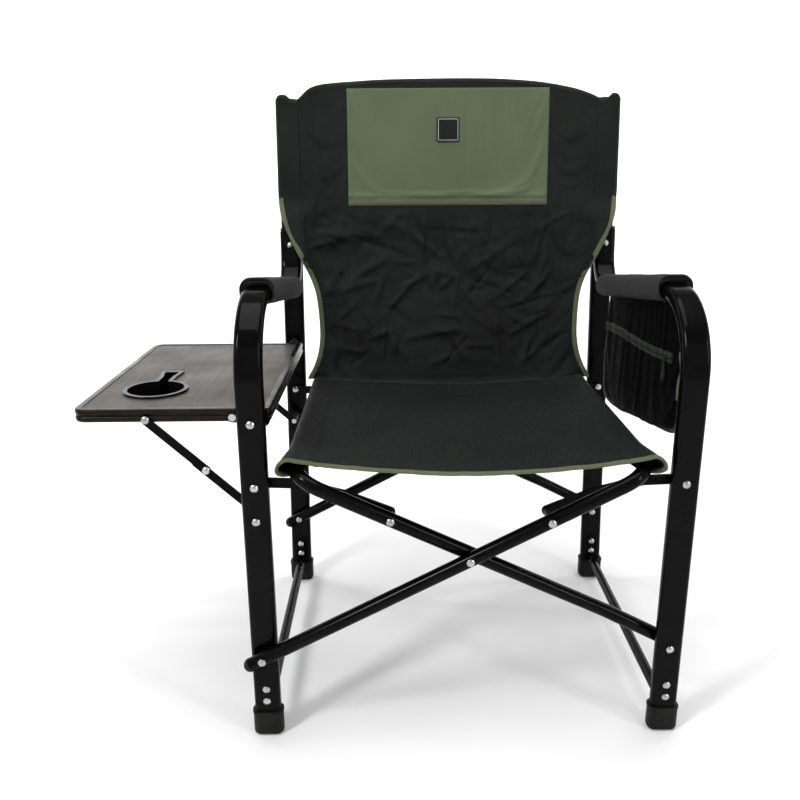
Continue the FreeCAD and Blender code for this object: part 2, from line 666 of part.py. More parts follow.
def edge_frame():
    low = TABLE_TOP_Z - EDGE_HEIGHT
    bead_height = EDGE_HEIGHT / 2 - 0.4
    core = moved(table_outline(EDGE_GROOVE).extrude(V(0, 0, EDGE_HEIGHT - 2)), z=low + 1)
    ring = fuse([bead(low, bead_height), bead(TABLE_TOP_Z - bead_height, bead_height), core])
    inside = moved(table_outline(EDGE_WIDTH).extrude(V(0, 0, EDGE_HEIGHT + 2)), z=low - 1)
    return ring.cut([inside] + hinge_pin_holes())


def cup_outline(grow):
    """Round cup with a slot for a mug's handle towards the back. The slot widens at its far end."""
    circle = disc(CUP_R + grow)
    circle.translate(V(CUP_X, CUP_Y, 0))
    neck = HANDLE_SLOT_NECK + grow
    end = HANDLE_SLOT_HALF + grow
    far = HANDLE_SLOT_END_Y + grow
    flare = HANDLE_SLOT_END_Y - 26
    outline = [(-neck, CUP_Y), (neck, CUP_Y), (neck, flare), (end, far - 8), (end, far),
               (-end, far), (-end, far - 8), (-neck, flare)]
    slot = polygon_face([V(CUP_X + x, y, 0) for x, y in outline])
    return circle.fuse(slot).removeSplitter()


def cup_prism(grow, z0, z1):
    return moved(cup_outline(grow).extrude(V(0, 0, z1 - z0)), z=z0)


def table_board():
    top = TABLE_TOP_Z - BOARD_RECESS
    board = moved(table_outline(EDGE_WIDTH).extrude(V(0, 0, BOARD_THICKNESS)), z=top - BOARD_THICKNESS)
    return board.cut([cup_prism(CUP_WALL, top - 50, top + 10), cup_prism(CUP_RIM, top - RIM_SEAT, top + 10)])


def cup_holder():
    top = TABLE_TOP_Z - BOARD_RECESS
    floor_z = top - CUP_DEPTH
    rim = cup_prism(CUP_RIM, top - RIM_SEAT, top + CUP_RIM_H)
    high = [e for e in rim.Edges if e.BoundBox.ZMin > top + CUP_RIM_H - 0.01]
    rim = rim.makeFillet(1.3, high)
    body = cup_prism(CUP_WALL, floor_z - CUP_WALL, top + 0.5)
    return fuse([rim, body]).cut(cup_prism(0, floor_z, top + 20))


def hinge_plate(y0, y1):
    """Plate under the table's edge beside the leg, with its lower inner corner rounded."""
    outline = strip([(HINGE_RIVET_X, HINGE_Z + 1), (-LEG_X, HINGE_Z)], 6.8, y0, y1)
    tail = strip([(-LEG_X, HINGE_Z - 3), (-280, HINGE_Z - 3)], 9, y0, y1)
    plate = fuse([outline, tail])
    return plate.cut(along_y(-LEG_X, HINGE_Z, y0 - 1, y1 + 1, SHANK_R + RUNNING))


def flush_rivet(y_face, y_end):
    """Countersunk rivet through a hinge plate, so that a folding stay can pass over it."""
    inward = 1 if y_end > y_face else -1
    z = HINGE_Z + 1
    head = Part.makeCone(5.2, SHANK_R, 1.8, V(HINGE_RIVET_X, y_face, z), V(0, inward, 0))
    shank = along_y(HINGE_RIVET_X, z, *sorted((y_face + 1.8 * inward, y_end)), SHANK_R)
    return fuse([head, shank])


def side_table():
    front = (TABLE_FRONT_Y - PLATE_THICKNESS, TABLE_FRONT_Y)
    back = (TABLE_BACK_Y, TABLE_BACK_Y + PLATE_THICKNESS)
    rivets = [flush_rivet(front[0], TABLE_FRONT_Y + 6), flush_rivet(back[1], TABLE_BACK_Y - 6)]
    return {
        "table_edge_frame": edge_frame().cut(rivets),
        "table_board": table_board(),
        "table_cup_holder": cup_holder(),
        "table_hinge_plates": group([hinge_plate(*front).cut(rivets[0]), hinge_plate(*back).cut(rivets[1])]),
        "table_hinge_rivets": group(rivets),
    }


# ---------------------------------------------------------------- folding stays
def stay_layers(facing):
    """Front and back y of the lower bar, then of the upper bar. facing is 1 at the table's front edge."""
    edge = TABLE_FRONT_Y if facing == 1 else TABLE_BACK_Y
    layers = []
    for step in (1, 0):
        near = edge - facing * (STAY_STACK + step * STAY_LAYER)
        layers.append(tuple(sorted((near, near - facing * STAY_THICKNESS))))
    return layers


def stay_points():
    """Leg pivot, middle joint and table pivot, in line while the table is up."""
    run = hypot(STAY_TOP_X + LEG_X, STAY_TOP_Z - STAY_LEG_Z)
    share = STAY_LOWER / run
    knee = (-LEG_X + share * (STAY_TOP_X + LEG_X), STAY_LEG_Z + share * (STAY_TOP_Z - STAY_LEG_Z))
    return (-LEG_X, STAY_LEG_Z), knee, (STAY_TOP_X, STAY_TOP_Z)


def stay(facing):
    """Lower and upper bar of one stay, with the rivets that each carries."""
    foot, knee, top = stay_points()
    (low0, low1), (up0, up1) = stay_layers(facing)
    rise = ((top[0] - knee[0]) / hypot(top[0] - knee[0], top[1] - knee[1]),
            (top[1] - knee[1]) / hypot(top[0] - knee[0], top[1] - knee[1]))
    nose = (knee[0] + 17 * rise[0], knee[1] + 17 * rise[1])
    lower = strip([foot, nose], STAY_HALF, low0, low1)
    lower = lower.cut(along_y(*foot, low0 - 1, low1 + 1, SHANK_R + RUNNING))
    lower = lower.cut(along_y(*knee, low0 - 1, low1 + 1, 2.0))
    upper = strip([knee, top], STAY_HALF, up0, up1)
    upper = upper.cut(along_y(*knee, up0 - 1, up1 + 1, 2.0 + RUNNING))
    upper = upper.cut(along_y(*top, up0 - 1, up1 + 1, 2.0))
    if facing == 1:
        knee_y, knee_end = low0, up1
        top_y, top_end = up0, TABLE_FRONT_Y - 0.2
    else:
        knee_y, knee_end = low1, up0
        top_y, top_end = up1, TABLE_BACK_Y + 0.2
    knee_rivet = rivet(*knee, knee_y, knee_end, tail=False, radius=2.0)
    top_rivet = rivet(*top, top_y, top_end, tail=False, radius=2.0)
    return lower, upper, knee_rivet, top_rivet


# ---------------------------------------------------------------- fabric and pouch
def spline(points, closed=False):
    curve = Part.BSplineCurve()
    curve.interpolate(points, PeriodicFlag=closed)
    return curve.toShape()


def seat_fabric():
    """Slung seat with a sleeve round each rail."""
    rail_z = CROSS_Z + BAR_SLOPE * RAIL_X
    top = rail_z + SEAT_SLEEVE
    upper = [V(-RAIL_X, 0, top), V(0, 0, top - SEAT_SAG), V(RAIL_X, 0, top)]
    lower = [point - V(0, 0, CLOTH) for point in upper]
    edges = [
        Part.Arc(*upper).toShape(),
        Part.makeLine(upper[2], lower[2]),
        Part.Arc(*lower).toShape(),
        Part.makeLine(lower[0], upper[0]),
    ]
    sling = Part.Face(Part.Wire(Part.__sortEdges__(edges))).extrude(V(0, SEAT_REAR_Y - SEAT_FRONT_Y, 0))
    sling.translate(V(0, SEAT_FRONT_Y, 0))
    sleeves = [along_y(side * RAIL_X, rail_z, SEAT_FRONT_Y, SEAT_REAR_Y, SEAT_SLEEVE) for side in (-1, 1)]
    seat = fuse([sling] + sleeves)
    for path in (frame_a_path(), frame_b_path()):
        seat = seat.cut(bar_solid(path, BAR_R + CLOTH_GAP))
    return biggest(seat)


def back_outline():
    """Front view of the back, as a prism through the chair. It is narrower below the tops of the arm tubes."""
    side = [(272.3, 690), (268, 640), (245, 573), (239, 510), (242, 476), (258, BACK_LOW[1] - 4)]
    top = [(0, BACK_TOP_Z), (80, BACK_TOP_Z - 1), (172, 950), (226, 940), (266, 924), (286, 921)]
    ear = [(286, 921), (302, 930), (313, 927)]
    shoulder = [ear[-1], (313, 742), (305, 703), (272.3, 699), side[0]]

    def half(mirror):
        def at(pair):
            return V(mirror * pair[0], 0, pair[1])
        edges = [spline([at(p) for p in run]) for run in (top, ear, side)]
        for start, end in zip(shoulder[:-1], shoulder[1:]):
            edges.append(Part.makeLine(at(start), at(end)))
        return edges

    # A flap between the rails hangs down behind the seat.
    flap = [side[-1], (213, BACK_LOW[1] - 4), (208, FLAP_LOW[1] + 2)]
    flap += [(-x, z) for x, z in reversed(flap)]
    edges = half(1) + half(-1)
    edges += [Part.makeLine(V(a, 0, b), V(c, 0, d)) for (a, b), (c, d) in zip(flap[:-1], flap[1:])]
    face = Part.Face(Part.Wire(Part.__sortEdges__(edges)))
    return moved(face.extrude(V(0, 300, 0)), y=130)


def back_fabric():
    """Back panel with a pocket over each post, and its lower part brought forward to the seat."""
    band = rounded_rectangle(640, CLOTH, 0.5)
    path = [V(0, *point) for point in (FLAP_LOW, BACK_LOW, BACK_KNEE, BACK_TOP)]
    panel = sweep(band, path, [20.0, 260.0], X_AXIS).common(back_outline())
    outer = rounded_rectangle(TUBE_WIDTH + 5, TUBE_DEPTH + 6, TUBE_CORNER + 2.5)
    low, high = 708.0, POST_LENGTH + 5.5
    pockets = []
    for side in (-1, 1):
        pocket = moved(outer.extrude(V(0, 0, high - low)), x=side * LEG_X, y=LEG_Y, z=low)
        pockets.append(lean(pocket))
    inner = rounded_rectangle(TUBE_WIDTH + 2 * CLOTH_GAP, TUBE_DEPTH + 2 * CLOTH_GAP, TUBE_CORNER + CLOTH_GAP)
    back = fuse([panel] + pockets)
    for side in (-1, 1):
        room = moved(inner.extrude(V(0, 0, POST_LENGTH + 3)), x=side * LEG_X, y=LEG_Y)
        back = back.cut(lean(room))
    return biggest(back)


def back_line_y(z):
    """Middle of the back panel above its bend."""
    (y0, z0), (y1, z1) = BACK_KNEE, BACK_TOP
    return y0 + (y1 - y0) * (z - z0) / (z1 - z0)


def head_panel():
    """Padded panel sewn on the upper part of the back."""
    z0, z1 = PANEL_HEIGHT
    off = (CLOTH + PANEL_THICKNESS) / 2 + 0.05
    section = rounded_rectangle(PANEL_WIDTH, PANEL_THICKNESS, PANEL_THICKNESS / 2 - 0.3)
    ends = [V(0, back_line_y(z) - off, z) for z in (z0, z1)]
    return sweep(section, ends, [], X_AXIS)


def side_pouch():
    """Flat zipped bag under the right arm. Its header reaches up to the foam sleeve."""
    y0, y1 = -128, 204
    upper = [V(0, y0, arm_centre_z(y0) - 12), V(0, y1, arm_centre_z(y1) - 12)]
    rear = [upper[1], V(0, 208, 520), V(0, 217, 460), V(0, 210, 405)]
    lower = [rear[-1], V(0, 170, 388), V(0, 90, 395), V(0, -30, 419), V(0, -120, 433), V(0, -176, 444)]
    front = [lower[-1], V(0, -191, 462), V(0, -192, 530), V(0, -189, 598), V(0, -163, 616), upper[0]]
    edges = [spline(run) for run in (rear, lower, front)] + [Part.makeLine(*upper)]
    face = Part.Face(Part.Wire(Part.__sortEdges__(edges)))
    bag = moved(face.extrude(V(2 * POUCH_HALF, 0, 0)), x=LEG_X - POUCH_HALF)
    foam = mirror_x(foam_sleeve())
    return bag.cut([foam, mirror_x(front_leg_solid())])


def zip_pull():
    """Cord pull of the pouch's zip, on the side that faces the seat."""
    x1 = LEG_X - POUCH_HALF - 0.1
    tab = box(x1 - 2.2, x1, -116, -110, 494, 514)
    slider = box(x1 - 3.4, x1, -118, -107, 514, 522)
    return fuse([tab, slider])


# ---------------------------------------------------------------- the whole chair
def build():
    nodes = {}
    left = side_frame(table_side=True)
    right = side_frame(table_side=False)
    for name, shape in left.items():
        nodes["left_" + name] = shape
    for name, shape in right.items():
        nodes["right_" + name] = mirror_x(shape)
    nodes.update(scissor())
    for place, y0 in (("front", LINK_FRONT_Y), ("rear", LINK_REAR_Y)):
        nodes[place + "_left_link"] = link(y0)
        nodes[place + "_right_link"] = mirror_x(link(y0))
    nodes.update(side_table())
    for place, facing in (("front", 1), ("rear", -1)):
        lower, upper, knee_rivet, top_rivet = stay(facing)
        nodes[place + "_stay_lower_bar"] = lower
        nodes[place + "_stay_upper_bar"] = upper
        nodes[place + "_stay_middle_rivet"] = knee_rivet
        nodes[place + "_stay_top_rivet"] = top_rivet
    nodes["seat_fabric"] = seat_fabric()
    nodes["back_fabric"] = back_fabric()
    nodes["head_panel"] = head_panel()
    nodes["side_pouch"] = side_pouch()
    nodes["pouch_zip_pull"] = zip_pull()
    return nodes


os.makedirs("parts", exist_ok=True)
for node, shape in build().items():
    shape.exportStep("parts/" + node + ".step")
    print(node, len(shape.Solids), round(shape.Volume / 1000, 2), shape.isValid())
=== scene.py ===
import json
import math
import random

import bmesh
import bpy
import numpy as np
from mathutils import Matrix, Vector, noise


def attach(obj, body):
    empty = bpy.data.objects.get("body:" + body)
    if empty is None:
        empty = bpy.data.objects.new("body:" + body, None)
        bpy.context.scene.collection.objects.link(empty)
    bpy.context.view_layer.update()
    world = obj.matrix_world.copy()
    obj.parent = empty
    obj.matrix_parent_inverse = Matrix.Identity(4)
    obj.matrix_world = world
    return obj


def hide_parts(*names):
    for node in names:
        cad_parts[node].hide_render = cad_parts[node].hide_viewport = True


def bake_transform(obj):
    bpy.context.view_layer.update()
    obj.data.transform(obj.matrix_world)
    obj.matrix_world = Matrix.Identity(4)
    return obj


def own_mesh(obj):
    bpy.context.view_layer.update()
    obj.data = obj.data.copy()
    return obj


# Folding director chair with a side table and a side pouch. Lengths are in metres.
# +Z is up, -Y is the front of the chair, and -X is the side with the table.

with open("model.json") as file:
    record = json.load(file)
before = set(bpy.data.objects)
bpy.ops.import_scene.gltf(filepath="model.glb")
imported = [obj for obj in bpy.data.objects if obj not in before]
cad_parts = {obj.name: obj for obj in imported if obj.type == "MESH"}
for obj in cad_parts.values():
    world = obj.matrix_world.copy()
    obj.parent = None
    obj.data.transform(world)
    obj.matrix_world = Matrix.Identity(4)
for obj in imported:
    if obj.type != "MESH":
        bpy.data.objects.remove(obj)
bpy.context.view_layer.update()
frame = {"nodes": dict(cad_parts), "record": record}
nodes = frame["nodes"]
scene = bpy.context.scene


# ---------------------------------------------------------------- small helpers
def smooth(value, low, high):
    """0 below low, 1 above high, and a soft step between them. high may be the smaller one."""
    t = np.clip((value - low) / (high - low), 0.0, 1.0)
    return t * t * (3 - 2 * t)


def through(points, at):
    """Catmull-Rom line through (position, value) points."""
    xs = [p[0] for p in points]
    ys = [p[1] for p in points]
    if at <= xs[0]:
        return ys[0]
    if at >= xs[-1]:
        return ys[-1]
    n = next(i for i in range(len(xs) - 1) if at <= xs[i + 1])
    span = xs[n + 1] - xs[n]
    t = (at - xs[n]) / span

    def slope(i):
        a, b = max(i - 1, 0), min(i + 1, len(xs) - 1)
        return (ys[b] - ys[a]) / (xs[b] - xs[a])

    m0, m1 = slope(n) * span, slope(n + 1) * span
    h00 = 2 * t ** 3 - 3 * t ** 2 + 1
    h10 = t ** 3 - 2 * t ** 2 + t
    h01 = -2 * t ** 3 + 3 * t ** 2
    h11 = t ** 3 - t ** 2
    return h00 * ys[n] + h10 * m0 + h01 * ys[n + 1] + h11 * m1


def fbm(x, y, z=0.0, octaves=4):
    return noise.fractal(Vector((x, y, z)), 0.9, 2.1, octaves)


def mesh_object(name, verts, faces, uvs=None, shade_smooth=True):
    """An object from plain lists. uvs holds one pair for each vertex, in metres of cloth."""
    mesh = bpy.data.meshes.new(name)
    mesh.from_pydata([tuple(v) for v in verts], [], faces)
    if uvs is not None:
        layer = mesh.uv_layers.new(name="cloth")
        for loop in mesh.loops:
            layer.data[loop.index].uv = uvs[loop.vertex_index]
    mesh.update()
    for face in mesh.polygons:
        face.use_smooth = shade_smooth
    obj = bpy.data.objects.new(name, mesh)
    scene.collection.objects.link(obj)
    return obj


def grid_faces(rows, columns, keep=None):
    faces = []
    for r in range(rows - 1):
        for c in range(columns - 1):
            if keep is None or keep(r, c):
                a = r * columns + c
                faces.append((a, a + 1, a + columns + 1, a + columns))
    return faces


def apply_modifiers(obj):
    bpy.context.view_layer.update()
    graph = bpy.context.evaluated_depsgraph_get()
    mesh = bpy.data.meshes.new_from_object(obj.evaluated_get(graph))
    obj.modifiers.clear()
    obj.data = mesh
    return obj


def thicken(obj, thickness, offset=0.0):
    modifier = obj.modifiers.new("thickness", "SOLIDIFY")
    modifier.thickness = thickness
    modifier.offset = offset
    return apply_modifiers(obj)


def paint(obj, material):
    obj.data.materials.clear()
    obj.data.materials.append(material)
    return obj


def rounded_ring(width, height, radius, count=48):
    """Points round a rounded rectangle, starting in the middle of its right side."""
    half_w, half_h = width / 2 - radius, height / 2 - radius
    points = []
    for k in range(count):
        a = 2 * math.pi * (k + 0.5) / count
        c, s = math.cos(a), math.sin(a)
        points.append((math.copysign(half_w, c) + radius * c, math.copysign(half_h, s) + radius * s))
    return points


def loft(name, rings, uvs=None, closed=False, caps=False):
    """Skin over rings of points, each ring closed on itself."""
    count = len(rings[0])
    verts = [p for ring in rings for p in ring]
    faces = []
    last = len(rings) if closed else len(rings) - 1
    for r in range(last):
        following = (r + 1) % len(rings)
        for k in range(count):
            k1 = (k + 1) % count
            faces.append((r * count + k, r * count + k1, following * count + k1, following * count + k))
    if caps:
        faces.append(tuple(reversed(range(count))))
        faces.append(tuple((len(rings) - 1) * count + k for k in range(count)))
    obj = mesh_object(name, verts, faces, uvs)
    mesh = bmesh.new()
    mesh.from_mesh(obj.data)
    bmesh.ops.recalc_face_normals(mesh, faces=mesh.faces)
    mesh.to_mesh(obj.data)
    mesh.free()
    return obj


def tape(name, points, inward, normals, width, thickness, reach=0.4):
    """Binding folded over a cloth's edge: a flat oval swept along the edge."""
    rings = []
    for p, d, n in zip(points, inward, normals):
        middle = p + d * width * (0.5 - reach * 0.25)
        ring = []
        for k in range(10):
            a = 2 * math.pi * k / 10
            across = math.copysign(abs(math.cos(a)) ** 0.6, math.cos(a))
            ring.append(middle + d * (across * width / 2) + n * (math.sin(a) * thickness / 2))
        rings.append(ring)
    return loft(name, rings, caps=True)


def stitches(name, runs, pitch=0.0042, length=0.0029, radius=0.00036):
    """Thread stitches. Each run is a list of (point, normal) pairs along a seam."""
    verts, faces = [], []
    for run in runs:
        travelled = 0.0
        due = pitch / 2
        for (p0, n0), (p1, _) in zip(run[:-1], run[1:]):
            step = (p1 - p0).length
            if step < 1e-7:
                continue
            ahead = (p1 - p0) / step
            while due <= travelled + step:
                middle = p0 + ahead * (due - travelled) + n0 * radius * 0.6
                side = ahead.cross(n0).normalized()
                base = len(verts)
                for end, share in ((-0.5, 0.35), (-0.28, 1.0), (0.28, 1.0), (0.5, 0.35)):
                    for k in range(6):
                        a = 2 * math.pi * k / 6
                        out = side * math.cos(a) + n0 * math.sin(a)
                        verts.append(middle + ahead * length * end + out * radius * share)
                for r in range(3):
                    for k in range(6):
                        k1 = (k + 1) % 6
                        row, above = base + r * 6, base + (r + 1) * 6
                        faces.append((row + k, row + k1, above + k1, above + k))
                faces.append(tuple(base + k for k in reversed(range(6))))
                faces.append(tuple(base + 18 + k for k in range(6)))
                due += pitch
            travelled += step
    return mesh_object(name, verts, faces)


# ---------------------------------------------------------------- materials
def new_material(name, colour, roughness, metallic=0.0, specular=0.5):
    material = bpy.data.materials.new(name)
    material.use_nodes = True
    shader = material.node_tree.nodes["Principled BSDF"]
    shader.inputs["Base Color"].default_value = (*colour, 1.0)
    shader.inputs["Roughness"].default_value = roughness
    shader.inputs["Metallic"].default_value = metallic
    shader.inputs["Specular IOR Level"].default_value = specular
    return material, material.node_tree, shader


def add(tree, kind, **values):
    node = tree.nodes.new(kind)
    for key, value in values.items():
        if key.startswith("in_"):
            node.inputs[int(key[3:])].default_value = value
        else:
            setattr(node, key, value)
    return node


def math_node(tree, operation, a, b=None):
    node = tree.nodes.new("ShaderNodeMath")
    node.operation = operation
    for n, value in enumerate((a, b)):
        if value is None:
            continue
        if isinstance(value, (int, float)):
            node.inputs[n].default_value = value
        else:
            tree.links.new(value, node.inputs[n])
    return node.outputs[0]


def noise_value(tree, coordinates, scale, detail=3.0, rough=0.55, stretch=None):
    if stretch is not None:
        mapping = add(tree, "ShaderNodeMapping")
        mapping.inputs["Scale"].default_value = stretch
        tree.links.new(coordinates, mapping.inputs["Vector"])
        coordinates = mapping.outputs["Vector"]
    node = add(tree, "ShaderNodeTexNoise")
    node.inputs["Scale"].default_value = scale
    node.inputs["Detail"].default_value = detail
    node.inputs["Roughness"].default_value = rough
    tree.links.new(coordinates, node.inputs["Vector"])
    return node.outputs["Fac"]


def ranged(tree, value, low, high):
    """Stretch the middle of a 0 to 1 value to low and high."""
    node = add(tree, "ShaderNodeMapRange")
    node.inputs["From Min"].default_value = 0.3
    node.inputs["From Max"].default_value = 0.7
    node.inputs["To Min"].default_value = low
    node.inputs["To Max"].default_value = high
    tree.links.new(value, node.inputs["Value"])
    return node.outputs["Result"]


def two_colours(tree, value, dark, light, low=0.35, high=0.65):
    ramp = add(tree, "ShaderNodeValToRGB")
    ramp.color_ramp.elements[0].position = low
    ramp.color_ramp.elements[0].color = (*dark, 1.0)
    ramp.color_ramp.elements[1].position = high
    ramp.color_ramp.elements[1].color = (*light, 1.0)
    tree.links.new(value, ramp.inputs["Fac"])
    return ramp.outputs["Color"]


def bump(tree, shader, height, distance, strength=1.0, under=None):
    node = add(tree, "ShaderNodeBump")
    node.inputs["Strength"].default_value = strength
    node.inputs["Distance"].default_value = distance
    tree.links.new(height, node.inputs["Height"])
    if under is not None:
        tree.links.new(under, node.inputs["Normal"])
    tree.links.new(node.outputs["Normal"], shader.inputs["Normal"])
    return node.outputs["Normal"]


def object_coordinates(tree):
    return add(tree, "ShaderNodeTexCoord").outputs["Object"]


def weave_height(tree, coordinates, pitch):
    """Plain weave: warp and weft threads that pass over each other in turn."""
    split = add(tree, "ShaderNodeSeparateXYZ")
    tree.links.new(coordinates, split.inputs[0])
    waves = []
    for axis in (0, 1):
        turns = math_node(tree, "MULTIPLY", split.outputs[axis], math.pi / pitch)
        waves.append(math_node(tree, "SINE", turns))
    over = math_node(tree, "GREATER_THAN", math_node(tree, "MULTIPLY", waves[0], waves[1]), 0.0)
    warp = math_node(tree, "ABSOLUTE", waves[0])
    weft = math_node(tree, "ABSOLUTE", waves[1])
    return math_node(tree, "ADD", math_node(tree, "MULTIPLY", warp, over),
                     math_node(tree, "MULTIPLY", weft, math_node(tree, "SUBTRACT", 1.0, over)))


def painted_tube(name, colour, roughness, coat):
    """Gloss powder paint with a faint orange peel, dust and rubbed spots."""
    material, tree, shader = new_material(name, colour, roughness, 0.0, 0.03)
    where = object_coordinates(tree)
    cloud = noise_value(tree, where, 18.0, 5.0, 0.6)
    tree.links.new(ranged(tree, cloud, roughness * 0.75, roughness * 1.5), shader.inputs["Roughness"])
    light = tuple(min(1.0, c * 2.2 + 0.0014) for c in colour)
    tree.links.new(two_colours(tree, noise_value(tree, where, 7.0, 6.0, 0.65), colour, light, 0.5, 0.85),
                   shader.inputs["Base Color"])
    bump(tree, shader, noise_value(tree, where, 420.0, 2.0), 0.00012, 0.35)
    shader.inputs["Coat Weight"].default_value = coat
    shader.inputs["Coat Roughness"].default_value = 0.07
    return material


def moulded(name, colour, roughness, grain, depth):
    """Moulded plastic or rubber with a fine grain."""
    material, tree, shader = new_material(name, colour, roughness, 0.0, 0.12)
    where = object_coordinates(tree)
    tree.links.new(ranged(tree, noise_value(tree, where, 60.0, 4.0), roughness * 0.85, roughness * 1.15),
                   shader.inputs["Roughness"])
    light = tuple(c * 1.8 + 0.004 for c in colour)
    tree.links.new(two_colours(tree, noise_value(tree, where, 25.0, 5.0), colour, light, 0.4, 0.75),
                   shader.inputs["Base Color"])
    bump(tree, shader, noise_value(tree, where, grain, 2.0), depth, 0.6)
    return material


def metal(name, colour, roughness, stretch, scratches=0.25):
    """Bare or anodised metal with fine lines one way."""
    material, tree, shader = new_material(name, colour, roughness, 1.0)
    where = object_coordinates(tree)
    lines = noise_value(tree, where, 260.0, 3.0, 0.6, stretch)
    tree.links.new(ranged(tree, lines, roughness * 0.7, roughness * 1.35), shader.inputs["Roughness"])
    light = tuple(min(1.0, c * 1.35) for c in colour)
    tree.links.new(two_colours(tree, noise_value(tree, where, 40.0, 4.0), colour, light),
                   shader.inputs["Base Color"])
    bump(tree, shader, lines, 0.00008, scratches)
    return material


def cloth(name, colour, light, pitch, roughness=0.72, sheen=0.03, uv=True, depth=0.00022, specular=0.16):
    """Woven polyester: threads, slubs, soft creases and slight fading."""
    material, tree, shader = new_material(name, colour, roughness, 0.0, specular)
    source = add(tree, "ShaderNodeTexCoord")
    where = source.outputs["UV" if uv else "Object"]
    threads = weave_height(tree, where, pitch)
    slubs = noise_value(tree, where, 0.28 / pitch, 2.0, 0.5, (1.0, 0.12, 1.0))
    fade = noise_value(tree, source.outputs["Object"], 5.0, 6.0, 0.62)
    base = two_colours(tree, fade, colour, light, 0.3, 0.75)
    shade = add(tree, "ShaderNodeMix", data_type="RGBA", blend_type="MULTIPLY")
    shade.inputs[0].default_value = 0.55
    tree.links.new(base, shade.inputs[6])
    tree.links.new(two_colours(tree, threads, (0.45, 0.45, 0.45), (1.0, 1.0, 1.0), 0.1, 0.8), shade.inputs[7])
    tree.links.new(shade.outputs[2], shader.inputs["Base Color"])
    tree.links.new(ranged(tree, slubs, roughness * 0.88, min(1.0, roughness * 1.12)),
                   shader.inputs["Roughness"])
    soft = noise_value(tree, source.outputs["Object"], 55.0, 4.0, 0.6)
    node = add(tree, "ShaderNodeBump")
    node.inputs["Strength"].default_value = 0.25
    node.inputs["Distance"].default_value = 0.0012
    tree.links.new(soft, node.inputs["Height"])
    bump(tree, shader, math_node(tree, "ADD", threads, math_node(tree, "MULTIPLY", slubs, 0.4)), depth, 0.8,
         node.outputs["Normal"])
    shader.inputs["Sheen Weight"].default_value = sheen
    shader.inputs["Sheen Roughness"].default_value = 0.45
    return material


def laminate():
    """Brown-grey board face with fine lines that run front to back."""
    material, tree, shader = new_material("laminate", (0.04, 0.033, 0.026), 0.48, 0.0, 0.22)
    where = object_coordinates(tree)
    fine = noise_value(tree, where, 1.0, 3.0, 0.6, (900.0, 9.0, 1.0))
    broad = noise_value(tree, where, 1.0, 4.0, 0.6, (170.0, 3.0, 1.0))
    mixed = math_node(tree, "ADD", math_node(tree, "MULTIPLY", fine, 0.6),
                      math_node(tree, "MULTIPLY", broad, 0.4))
    colour = two_colours(tree, mixed, (0.0125, 0.0092, 0.0064), (0.064, 0.046, 0.031), 0.38, 0.62)
    tree.links.new(colour, shader.inputs["Base Color"])
    tree.links.new(ranged(tree, noise_value(tree, where, 12.0, 4.0), 0.36, 0.5), shader.inputs["Roughness"])
    bump(tree, shader, fine, 0.00015, 0.5)
    return material


tube_paint = painted_tube("tube_paint", (0.0011, 0.0011, 0.001), 0.2, 0.12)
steel_paint = painted_tube("steel_paint", (0.0018, 0.0018, 0.0017), 0.3, 0.05)
black_plastic = moulded("black_plastic", (0.006, 0.006, 0.006), 0.42, 900.0, 0.0001)
gloss_plastic = moulded("gloss_plastic", (0.0022, 0.0022, 0.0023), 0.12, 500.0, 0.00004)
rubber = moulded("rubber", (0.0065, 0.0062, 0.0056), 0.5, 700.0, 0.00018)
rivet_metal = metal("rivet_metal", (0.42, 0.42, 0.41), 0.24, (1.0, 1.0, 1.0), 0.4)
bronze = metal("bronze", (0.018, 0.0145, 0.0105), 0.3, (0.08, 0.08, 12.0), 0.3)
laminate_face = laminate()
black_cloth = cloth("black_cloth", (0.0026, 0.0036, 0.0029), (0.0094, 0.0114, 0.0098),
                    0.0009, 0.6, 0.02, specular=0.15)
green_cloth = cloth("green_cloth", (0.092, 0.116, 0.063), (0.118, 0.146, 0.083), 0.0009, 0.82, 0.1)
green_tape = cloth("green_tape", (0.085, 0.1, 0.048), (0.12, 0.138, 0.07), 0.0012, 0.85, 0.08, uv=False)
dark_tape = cloth("dark_tape", (0.013, 0.0165, 0.012), (0.023, 0.028, 0.02), 0.0012, 0.85, 0.05, uv=False)
pouch_cloth = cloth("pouch_cloth", (0.0011, 0.0013, 0.0012), (0.0024, 0.0027, 0.0025),
                    0.0008, specular=0.03, sheen=0.004)
foam_skin = cloth("foam_skin", (0.0115, 0.0130, 0.0112), (0.0205, 0.0225, 0.0200),
                  0.0007, 0.9, 0.06, depth=0.00012)
thread = moulded("thread", (0.022, 0.023, 0.023), 0.7, 1500.0, 0.00005)
green_thread = moulded("green_thread", (0.12, 0.13, 0.08), 0.7, 1500.0, 0.00005)
label_face = cloth("label_face", (0.006, 0.006, 0.0065), (0.01, 0.01, 0.011), 0.0006, 0.7, 0.1, uv=False)
label_edge = moulded("label_edge", (0.3, 0.3, 0.29), 0.7, 900.0, 0.00005)

SLOT_MATERIAL = {
    "black_tube": tube_paint,
    "black_steel": steel_paint,
    "black_plastic": black_plastic,
    "gloss_plastic": gloss_plastic,
    "black_rubber": rubber,
    "rivet_steel": rivet_metal,
    "bronze_aluminium": bronze,
    "laminate": laminate_face,
}
for part in frame["record"]["subparts"]:
    if part["material_slot"] in SLOT_MATERIAL:
        paint(nodes[part["node"]], SLOT_MATERIAL[part["material_slot"]])


